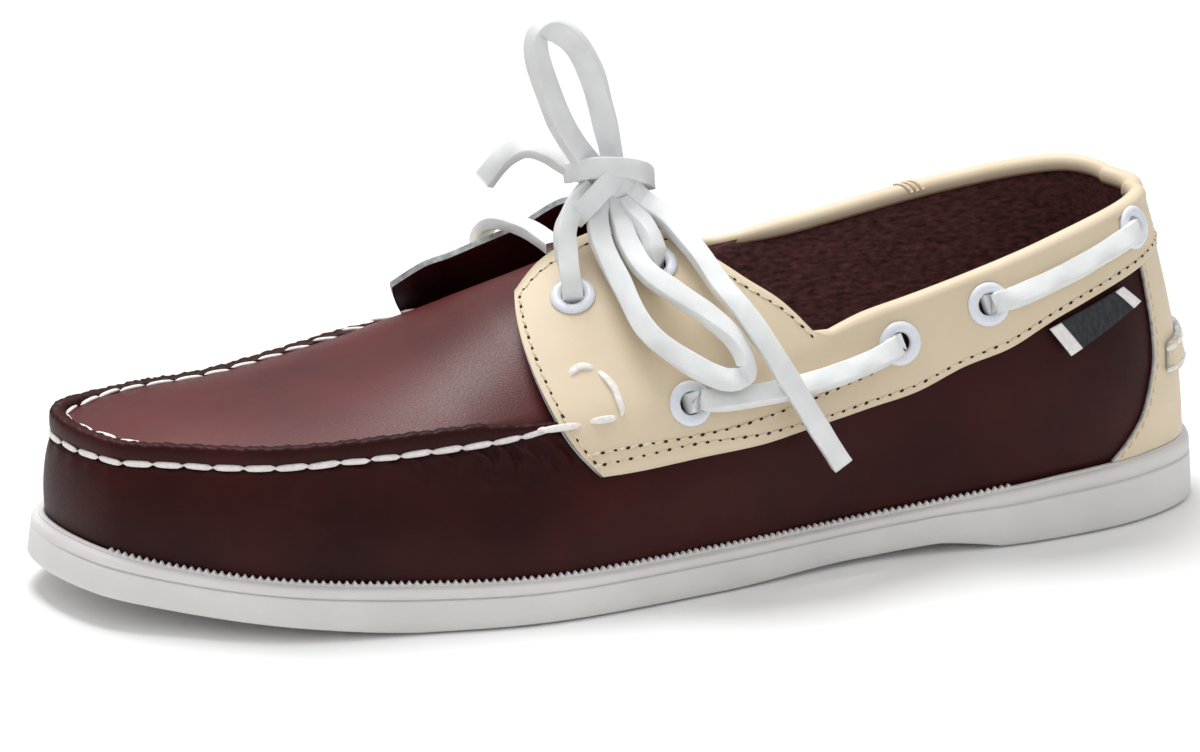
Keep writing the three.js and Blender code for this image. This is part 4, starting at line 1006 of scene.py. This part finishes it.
# Crossing behind the throat and the two rises out of the front eyelets up to the knot.
tieRoutes = {
    "laceCrossing": [
        (173.4, -37.0, 62.4, 0.2, -0.85, 0.4), (173.6, -36, 66.4, 0.2, -0.7, 0.6),
        (172.3, -32.4, 70.0, 0.2, -0.4, 0.85), (170, -27, 71.6, 0.1, 0, 1),
        (167.6, -19, 71.9, 0.1, 0.15, 1), (166, -11, 71.4, 0.1, 0.1, 1), (165.2, -5, 70.8, 0.1, 0.1, 1)],
    "laceRiseFront": [
        (169.6, 19.6, 69.8, 0.3, 0.9, 0.1), (169.6, 16.6, 74.4, 0.1, 0.9, 0.3),
        (169.0, 13.0, 79.4, -0.3, 0.85, 0.4), (166.4, 9.4, 82.6, 0.2, 0.9, 0.3),
        (163.4, 7.4, 85.6, 0.1, 0.95, 0.2), (160.4, 6.4, 88.0, 0, 1, 0.1)],
    "laceRiseRear": [
        (149.4, 20.4, 75.2, -0.4, 0.8, 0.3), (149.6, 17.0, 78.4, -0.4, 0.8, 0.4),
        (150.6, 12, 81.4, -0.3, 0.85, 0.4), (152.4, 7.6, 84.8, -0.2, 0.9, 0.3)],
}
riseEyelets = {"laceRiseFront": "lateral_throat_front", "laceRiseRear": "lateral_throat_rear"}


def makeTie():
    for name, points in tieRoutes.items():
        if name in riseEyelets:
            points = intoEyelet(riseEyelets[name], points)
        piece, _ = strapPiece(name, points)
        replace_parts(piece, laceNodes[name])


# Knot: a wrap over the top, a wrap drawn down to the front rise and a tucked heart.
knotWraps = {
    "knotWrapTop": [
        (144.4, 0.2, 86.8, -0.9, 0.3, 0.2), (144.6, 3.2, 88.0, -0.7, 0.65, 0.25),
        (147.6, 6.6, 90.6, -0.4, 0.85, 0.3), (152.4, 8.8, 92.6, -0.1, 0.95, 0.25),
        (157.8, 9.2, 93.2, 0.1, 0.98, 0.1), (162.0, 7.6, 92.8, 0.5, 0.85, 0),
        (164.2, 4.4, 91.4, 0.9, 0.4, 0), (164.4, 0.6, 90.2, 1, 0, 0)],
    "knotWrapDown": [
        (153.6, 7.6, 92.6, 0.1, 0.9, 0.4), (156.8, 9.9, 90.4, 0.1, 1, 0.15),
        (160.4, 10.6, 87.2, 0.15, 1, 0), (163.6, 10.0, 83.6, 0.3, 0.95, 0),
        (165.0, 8.0, 81.2, 0.5, 0.8, -0.2), (163.4, 5.2, 81.0, 0.3, 0.3, -0.9)],
    "knotHeart": [
        (148.2, 3.0, 86.4, -0.4, 0.9, -0.2), (151.4, 6.6, 87.4, -0.1, 1, 0),
        (156.0, 7.8, 88.4, 0.05, 1, 0), (161, 5.6, 89.6, 0.4, 0.9, 0)],
}
knotCore = {"centre": (155.5, 3.4, 88.4), "radii": (6.2, 3.6, 3.2), "wrapThick": 2.0}


def makeKnot():
    for name, points in knotWraps.items():
        strapPiece(name, points, thick=knotCore["wrapThick"])
    rise, turns = steps(0, math.pi, 14)[:, None], steps(0, 2 * math.pi, 28)[:-1][None]
    shell = np.stack([np.sin(rise) * np.cos(turns), np.sin(rise) * np.sin(turns),
                      np.cos(rise) + 0 * turns], -1)
    rows, columns = shell.shape[:2]
    points = (shell * knotCore["radii"] + knotCore["centre"]).reshape(-1, 3)
    core = newPiece("knotCore", points, gridFaces(rows, columns, closedColumns=True), "lace")
    merge(core, 0.01)
    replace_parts(core, "lace_knot")


makeBars()
makeTie()
makeKnot()
print("lace made")

# Geometry Nodes tree that sets a unit along each row of a mesh of edges. The rows carry the direction
# out of the leather in an attribute named out.
def makeRepeatTree():
    tree = bpy.data.node_groups.new("repeat along rows", "GeometryNodeTree")
    face = tree.interface
    face.new_socket("Geometry", in_out="OUTPUT", socket_type="NodeSocketGeometry")
    for name, kind, value in (("Rows", "NodeSocketGeometry", None), ("Unit", "NodeSocketObject", None),
                              ("Pitch", "NodeSocketFloat", 0.003), ("Size", "NodeSocketVector", (1, 1, 1)),
                              ("Slant", "NodeSocketFloat", 0.0), ("Jitter", "NodeSocketFloat", 0.1),
                              ("Height", "NodeSocketFloat", 0.0), ("Seed", "NodeSocketInt", 1),
                              ("Finish", "NodeSocketMaterial", None)):
        socket = face.new_socket(name, in_out="INPUT", socket_type=kind)
        if value is not None:
            socket.default_value = value
    given = addNode(tree, "NodeGroupInput").outputs
    line = addNode(tree, "GeometryNodeMeshToCurve", {"Mesh": given["Rows"]})
    spots = addNode(tree, "GeometryNodeResampleCurve", {
        "Curve": line.outputs["Curve"], "Length": given["Pitch"]}, mode="LENGTH")
    along = addNode(tree, "GeometryNodeInputTangent").outputs["Tangent"]
    out = addNode(tree, "GeometryNodeInputNamedAttribute", {"Name": "out"}, data_type="FLOAT_VECTOR")
    kept = addNode(tree, "GeometryNodeCaptureAttribute", {"Geometry": spots.outputs["Curve"]}, domain="POINT")
    for name, value in (("along", along), ("facing", out.outputs["Attribute"])):
        kept.capture_items.new("VECTOR", name)
        tree.links.new(value, kept.inputs[name])
    points = addNode(tree, "GeometryNodeCurveToPoints", {"Curve": kept.outputs["Geometry"]}, mode="EVALUATED")
    first = addNode(tree, "FunctionNodeAlignRotationToVector", {"Vector": kept.outputs["facing"]}, axis="Z")
    turned = addNode(tree, "FunctionNodeAlignRotationToVector", {
        "Rotation": first.outputs["Rotation"], "Vector": kept.outputs["along"]}, axis="X", pivot_axis="Z")
    wobble = addNode(tree, "FunctionNodeRandomValue", {
        "Min": -1.0, "Max": 1.0, "Seed": given["Seed"]}, data_type="FLOAT")
    swing = addNode(tree, "ShaderNodeMath", {0: wobble.outputs[1], 1: given["Jitter"], 2: given["Slant"]},
                    operation="MULTIPLY_ADD")
    slant = addNode(tree, "ShaderNodeCombineXYZ", {"Z": swing.outputs[0]})
    slanted = addNode(tree, "FunctionNodeEulerToRotation", {0: slant.outputs["Vector"]})
    turn = addNode(tree, "FunctionNodeRotateRotation", {
        "Rotation": turned.outputs["Rotation"], "Rotate By": slanted.outputs["Rotation"]},
        rotation_space="LOCAL")
    shrink = addNode(tree, "ShaderNodeMath", {0: wobble.outputs[1], 1: given["Jitter"], 2: 1.0},
                     operation="MULTIPLY_ADD")
    scaled = addNode(tree, "ShaderNodeVectorMath", {0: given["Size"], "Scale": shrink.outputs[0]},
                     operation="SCALE")
    unitInfo = addNode(tree, "GeometryNodeObjectInfo", {"Object": given["Unit"]})
    lifted = addNode(tree, "ShaderNodeVectorMath", {0: kept.outputs["facing"], "Scale": given["Height"]},
                     operation="SCALE")
    raised = addNode(tree, "GeometryNodeSetPosition", {
        "Geometry": points.outputs["Points"], "Offset": lifted.outputs["Vector"]})
    copies = addNode(tree, "GeometryNodeInstanceOnPoints", {
        "Points": raised.outputs["Geometry"], "Instance": unitInfo.outputs["Geometry"],
        "Rotation": turn.outputs["Rotation"], "Scale": scaled.outputs["Vector"]})
    solid = addNode(tree, "GeometryNodeRealizeInstances", {"Geometry": copies.outputs["Instances"]})
    painted = addNode(tree, "GeometryNodeSetMaterial", {
        "Geometry": solid.outputs["Geometry"], "Material": given["Finish"]})
    addNode(tree, "NodeGroupOutput", {"Geometry": painted.outputs["Geometry"]})
    return tree


repeatTree = makeRepeatTree()


def unitMesh(name, points, faces, smooth):
    mesh = bpy.data.meshes.new(name)
    mesh.from_pydata(points, [], faces)
    mesh.polygons.foreach_set("use_smooth", [smooth] * len(mesh.polygons))
    return bpy.data.objects.new(name, mesh)


# Thread between two holes: a lens one long, one wide and one high, its belly out.
def threadUnit(name, sides, spans):
    points = []
    for r in range(spans + 1):
        x = -0.5 + r / spans
        girth = max(1 - abs(2 * x) ** 5, 0.0) ** 0.7 * 0.85 + 0.15
        for s in range(sides):
            turn = 2 * math.pi * s / sides
            bend = 0.25 * (2 * x) ** 2
            points.append((x, 0.5 * girth * math.cos(turn), 0.5 * girth * math.sin(turn) - bend))
    return unitMesh(name, points, loftFaces(spans + 1, sides), True)


# Tooth: a wedge one long and one high, rounded off at its top.
def toothUnit(name):
    profile = [(-0.5, 0), (-0.28, 0.55), (-0.1, 0.95), (0.1, 0.95), (0.28, 0.55), (0.5, 0)]
    points = [(x, y, z) for y in (-0.5, 0.5) for x, z in profile]
    count = len(profile)
    faces = [tuple(range(count)), tuple(reversed(range(count, 2 * count)))]
    faces += [(k, k + count, (k + 1) % count + count, (k + 1) % count) for k in range(count)]
    return unitMesh(name, points, faces, False)


units = {"thread": threadUnit("thread unit", 8, 6), "hole": threadUnit("hole unit", 8, 4),
         "tooth": toothUnit("tooth unit")}


# rows: list of (points, directions out), each set with one of the units at a pitch in millimetres.
def repeatPiece(name, rows, unitName, pitch, size, finish, slant=0.0, jitter=0.06, height=0.0, seed=1):
    points = np.concatenate([row[0] for row in rows])
    facing = np.concatenate([row[1] for row in rows])
    edges, start = [], 0
    for row in rows:
        edges += [(start + k, start + k + 1) for k in range(len(row[0]) - 1)]
        start += len(row[0])
    mesh = bpy.data.meshes.new(name)
    mesh.from_pydata(toFrame(points).tolist(), edges, [])
    held = mesh.attributes.new("out", "FLOAT_VECTOR", "POINT")
    held.data.foreach_set("vector", facing.astype(np.float32).ravel())
    piece = bpy.data.objects.new(name, mesh)
    scene.collection.objects.link(piece)
    repeat = piece.modifiers.new("repeat", "NODES")
    repeat.node_group = repeatTree
    values = {"Unit": units[unitName], "Pitch": pitch * millimetre,
              "Size": tuple(v * millimetre for v in size), "Slant": math.radians(slant), "Jitter": jitter,
              "Height": height * millimetre, "Seed": seed, "Finish": finishes[finish]}
    for socket in repeatTree.interface.items_tree:
        if socket.in_out == "INPUT" and socket.name in values:
            repeat[socket.identifier] = values[socket.name]
    applyModifiers(piece)
    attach(piece, "root")
    return piece


# Row along a function of a parameter that gives a point at a height over the leather.
def rowOn(at, params, lift=0.0):
    low, high = at(params, lift), at(params, lift + 1.0)
    return low, unit(high - low)


def onCollar(side, rows, places, w):
    def at(params, lift):
        row = alongRows(rows, np.interp(params, (0, 1), places))
        return collarPoint(side, row, w, outerFace + lift)
    return at


def onBand(side, low, high, offset):
    def at(params, lift):
        i = low + (high - low) * params
        q = np.interp(-i, -bandEdge[:, 0], bandEdge[:, 1]) + offset
        return lastPoint(side, i, q, outerFace + lift)
    return at


# Row through listed places (station, place) on the last or the collar.
def throughPlaces(side, places, base):
    places = np.array(places, float)

    def at(params, lift):
        station, q = alongRows(places, params * (len(places) - 1)).T
        return lastPoint(side, station, q, base + lift)
    return at


fineStitch = {"pitch": 3.1, "size": (2.3, 0.62, 0.5), "slant": 9, "hole": (1.1, 0.6, 0.14)}
seamStitch = {"pitch": 6.9, "size": (7.5, 1.55, 1.2), "innerPitch": 7.2, "innerSize": (7.2, 1.3, 0.9)}
heelStitch = {"pitch": 5.2, "size": (5.0, 1.2, 0.9), "places": (0.166, 0.209)}
counterStitch = {"pitch": 2.9, "size": (2.1, 0.6, 0.5), "inset": 0.05}


# Upper row of stitches along the band: station and place on the last.
upperStitchPlaces = {
    lateral: [(5.68, 0.394), (5.45, 0.385), (5.2, 0.37), (4.9, 0.361), (4.57, 0.366), (4.3, 0.374),
              (4.04, 0.384)],
    medial: [(5.9, 0.393), (5.6, 0.385), (5.25, 0.37), (4.9, 0.361), (4.57, 0.366), (4.3, 0.374),
             (4.04, 0.384)],
}


# The seam's outer row stands against the lip; the inner row lies at the edge of the plug.
def seamRows():
    def atLip(params, lift):
        return rimPoint(params) + outward(params) * (-0.15 + lift) + (0, 0, 0.15)
    outerRow = rowOn(atLip, steps(5.98, ringLength - 6.3, 500))
    points = np.concatenate([plugPoint(side, places, 0.03) + (0, 0, 0.35) for side, places in (
        (lateral, steps(6.9, 10.97, 260)), (medial, steps(10.97, 5.9, 260)))])
    return outerRow, (points, upwards(len(points)))


def upwards(count):
    return np.tile((0.0, 0.0, 1.0), (count, 1))


def collarStitchRows():
    t = steps(0, 1, 400)
    rows = []
    for side, stay in ((lateral, lateralCollar), (medial, medialCollar)):
        rear = len(stay) - 1
        front = np.tile(alongRows(stay, np.array([0.28])), (61, 1))
        rows.append(rowOn(lambda params, lift: collarPoint(side, front, params, outerFace + lift),
                          steps(0.06, 0.9, 60)))
        rows.append(rowOn(onCollar(side, stay, (0.3, rear), 0.07), t))
        rows.append(rowOn(onCollar(side, stay, (0.3, rear - 0.3), 0.94), t))
        rows.append(rowOn(throughPlaces(side, upperStitchPlaces[side], outerFace + 0.15), t))
        rows.append(rowOn(onBand(side, 4.3, 0.0, 0.016), t))
    return rows


def makeStitches():
    outerRow, innerRow = seamRows()
    repeatPiece("seamStitchesOuter", [outerRow], "thread", seamStitch["pitch"],
                seamStitch["size"], "thread", jitter=0.07, seed=3)
    repeatPiece("seamStitchesInner", [innerRow], "thread", seamStitch["innerPitch"],
                seamStitch["innerSize"], "thread", jitter=0.05, seed=5)
    rows, pitch = collarStitchRows(), fineStitch["pitch"]
    repeatPiece("collarStitches", rows, "thread", pitch, fineStitch["size"], "creamThread",
                slant=fineStitch["slant"], seed=7, height=0.05)
    # dark lenses between the stitches: painted shade of the awl holes
    holes = [(points + unit(np.gradient(points, axis=0)) * pitch / 2, facing) for points, facing in rows]
    repeatPiece("collarHoles", holes, "hole", pitch, fineStitch["hole"], "awlHole",
                seed=7, jitter=0.2, height=0.03)


# Single hand stitches: two or three places (station, place) each, drawn tight over the leather.
handStitches = [
    [(5.98, 0.502), (5.85, 0.495), (5.73, 0.488)], [(5.68, 0.489), (5.61, 0.485), (5.54, 0.48)],
    [(5.72, 0.592), (5.65, 0.602), (5.575, 0.589)], [(5.57, 0.585), (5.515, 0.538), (5.51, 0.483)],
]


# Thread between two holes: a lens that stands off the leather and dips in at both ends.
def tightThread(name, places, girth):
    at = throughPlaces(lateral, places, outerFace)
    t = steps(0, 1, 16)
    bulge = 1 - np.abs(2 * t - 1) ** 3
    centre = at(t, 0.0)
    out = unit(at(t, 1.0) - centre)
    flap = collarLift(places)
    centre = centre + out * (flap + girth * 0.35 * bulge - 0.4 * (1 - bulge))[:, None]
    route = np.concatenate([centre, out], 1)
    sections = strapSections(route, girth * 1.3, girth * 0.8)
    middle = route[:, None, :3]
    sections = middle + (sections - middle) * (0.3 + 0.7 * bulge)[:, None, None]
    loftPiece(name, sections, "thread")


# How far the near eyestay stands off the last at a list of places.
def collarLift(places):
    station, place = np.mean(np.array(places, float), axis=0)
    order = np.argsort(lateralCollar[:, 0])
    low, high, lift = (np.interp(station, lateralCollar[order, 0], lateralCollar[order, k])
                       for k in (1, 3, 4))
    return lift * np.clip((place - low) / (high - low), 0, 1) ** 2


# Joint of the padded roll on the medial side: three threads drawn over it, slanting by lean stations.
rollJoint = {"stations": (3.21, 3.245, 3.28), "lean": 0.03, "turns": (60, 165), "off": 0.25,
             "thread": (0.8, 0.6)}


def makeRollJoint():
    for k, station in enumerate(rollJoint["stations"]):
        u = ringPlace(medial, station) + steps(-rollJoint["lean"], rollJoint["lean"], 8)
        turn = np.radians(steps(*rollJoint["turns"], 8))[:, None]
        out = outward(u)
        around = out * np.cos(turn) + np.array([0, 0, 1.0]) * np.sin(turn)
        centre = rimPoint(u) + out * (outerFace - sizes["roll"]) + (0, 0, collar["rollLift"])
        route = np.concatenate([centre + around * (sizes["roll"] + rollJoint["off"]), around], 1)
        sections = strapSections(route, *rollJoint["thread"])
        loftPiece(f"rollJointStitch.{k}", sections, "creamThread")


def makeHandStitches():
    for k, places in enumerate(handStitches):
        tightThread(f"stayHandStitch.{k}", places, 1.25)
    across, rows = steps(-0.97, 0.97, 200), []
    for q in heelStitch["places"]:
        rows.append(rowOn(lambda params, lift: overHeel(params * heelTab["reach"], q, 3.0 + lift), across))
    repeatPiece("heelTabStitches", rows, "thread", heelStitch["pitch"], heelStitch["size"],
                "thread", seed=11)


def onCounter(side):
    def at(params, lift):
        q, station = alongRows(counterEdge, params).T
        return lastPoint(side, station - counterStitch["inset"], q, 1.4 + lift)
    return at


def makeCounterStitches():
    edge = steps(0.4, len(counterEdge) - 1.1, 120)
    rows = [rowOn(onCounter(side), edge) for side in (lateral, medial)]
    repeatPiece("counterStitches", rows, "thread", counterStitch["pitch"],
                counterStitch["size"], "creamThread", slant=fineStitch["slant"], seed=13)


# The teeth stand on a low edge round the sole's top: inset from the outline and rise of its section.
teeth = {"pitch": 1.75, "size": (1.5, 0.9, 1.15), "front": 9.85, "rear": 3.2,
         "edge": [(3.0, -0.4), (2.85, 0.25), (3.1, 0.42), (3.9, 0.45), (4.15, 0.3), (4.15, -0.4)]}


def makeTeeth():
    rows = []
    for start, end in ((teeth["rear"], teeth["front"]),
                       (ringLength - teeth["front"], ringLength - teeth["rear"])):
        u = steps(start, end, 700)
        point = inFrom(u, sizes["ledge"] - 0.75, aroundRing("top", u) + 0.1)
        rows.append((point, upwards(len(point))))
    repeatPiece("feltTeeth", rows, "tooth", teeth["pitch"], teeth["size"], "rubber",
                jitter=0.03, seed=17)
    u = steps(0, ringLength, 700)[:-1]
    sections = np.stack([inFrom(u, inset, aroundRing("top", u) + rise) for inset, rise in teeth["edge"]], 1)
    ringPiece("feltEdge", sections, "rubber")


makeStitches()
makeHandStitches()
makeCounterStitches()
makeRollJoint()
makeTeeth()
print("stitches and teeth made")

# Softbox overhead: bright at the zenith, dim along the horizon, so that the sides fall into shade.
sky = {"horizon": 0.1, "zenith": 1.05}
sweep = {"reach": 6.0, "under": 0.0004}  # metres


def makeStage():
    mesh = bpy.data.meshes.new("floor")
    corners = [(x * sweep["reach"], y * sweep["reach"], -sweep["under"])
               for x, y in ((-1, -1), (1, -1), (1, 1), (-1, 1))]
    mesh.from_pydata(corners, [], [(0, 1, 2, 3)])
    floor = bpy.data.objects.new("floor", mesh)
    scene.collection.objects.link(floor)
    paper = bpy.data.materials.new("white paper sweep")
    paper.use_nodes = True
    shader = paper.node_tree.nodes["Principled BSDF"]
    shader.inputs["Base Color"].default_value = toLinear("#f4f4f4")
    shader.inputs["Roughness"].default_value = 0.9
    shader.inputs["Specular IOR Level"].default_value = 0.1
    mesh.materials.append(paper)
    world = bpy.data.worlds.new("studio")
    world.use_nodes = True
    tree = world.node_tree
    heading = addNode(tree, "ShaderNodeTexCoord").outputs["Generated"]
    height = addNode(tree, "ShaderNodeSeparateXYZ", {"Vector": heading}).outputs["Z"]
    glow = addNode(tree, "ShaderNodeMapRange", {
        "Value": height, "From Min": 0.0, "From Max": 1.0, "To Min": sky["horizon"], "To Max": sky["zenith"]})
    tree.links.new(glow.outputs["Result"], tree.nodes["Background"].inputs["Strength"])
    tree.nodes["Background"].inputs["Color"].default_value = (1, 1, 1, 1)
    scene.world = world


# Name, place and size in metres, watts, what it points at.
lampRows = [
    ("overhead", (0.1, -0.4, 1.25), 0.55, 12.5, (0.02, 0, 0.03)),
    ("front", (0.1, 1.3, 0.9), 0.7, 0.9, (0.02, 0, 0.03)),
]


def makeLamps():
    for name, place, size, power, aim in lampRows:
        data = bpy.data.lights.new(name, "AREA")
        data.size = size
        data.energy = power
        lamp = bpy.data.objects.new(name, data)
        scene.collection.objects.link(lamp)
        lamp.location = place
        lamp.rotation_mode = "QUATERNION"
        lamp.rotation_quaternion = (Vector(aim) - Vector(place)).to_track_quat("-Z", "Y")


makeStage()
makeLamps()
scene.view_settings.view_transform = "Standard"
print("stage set")
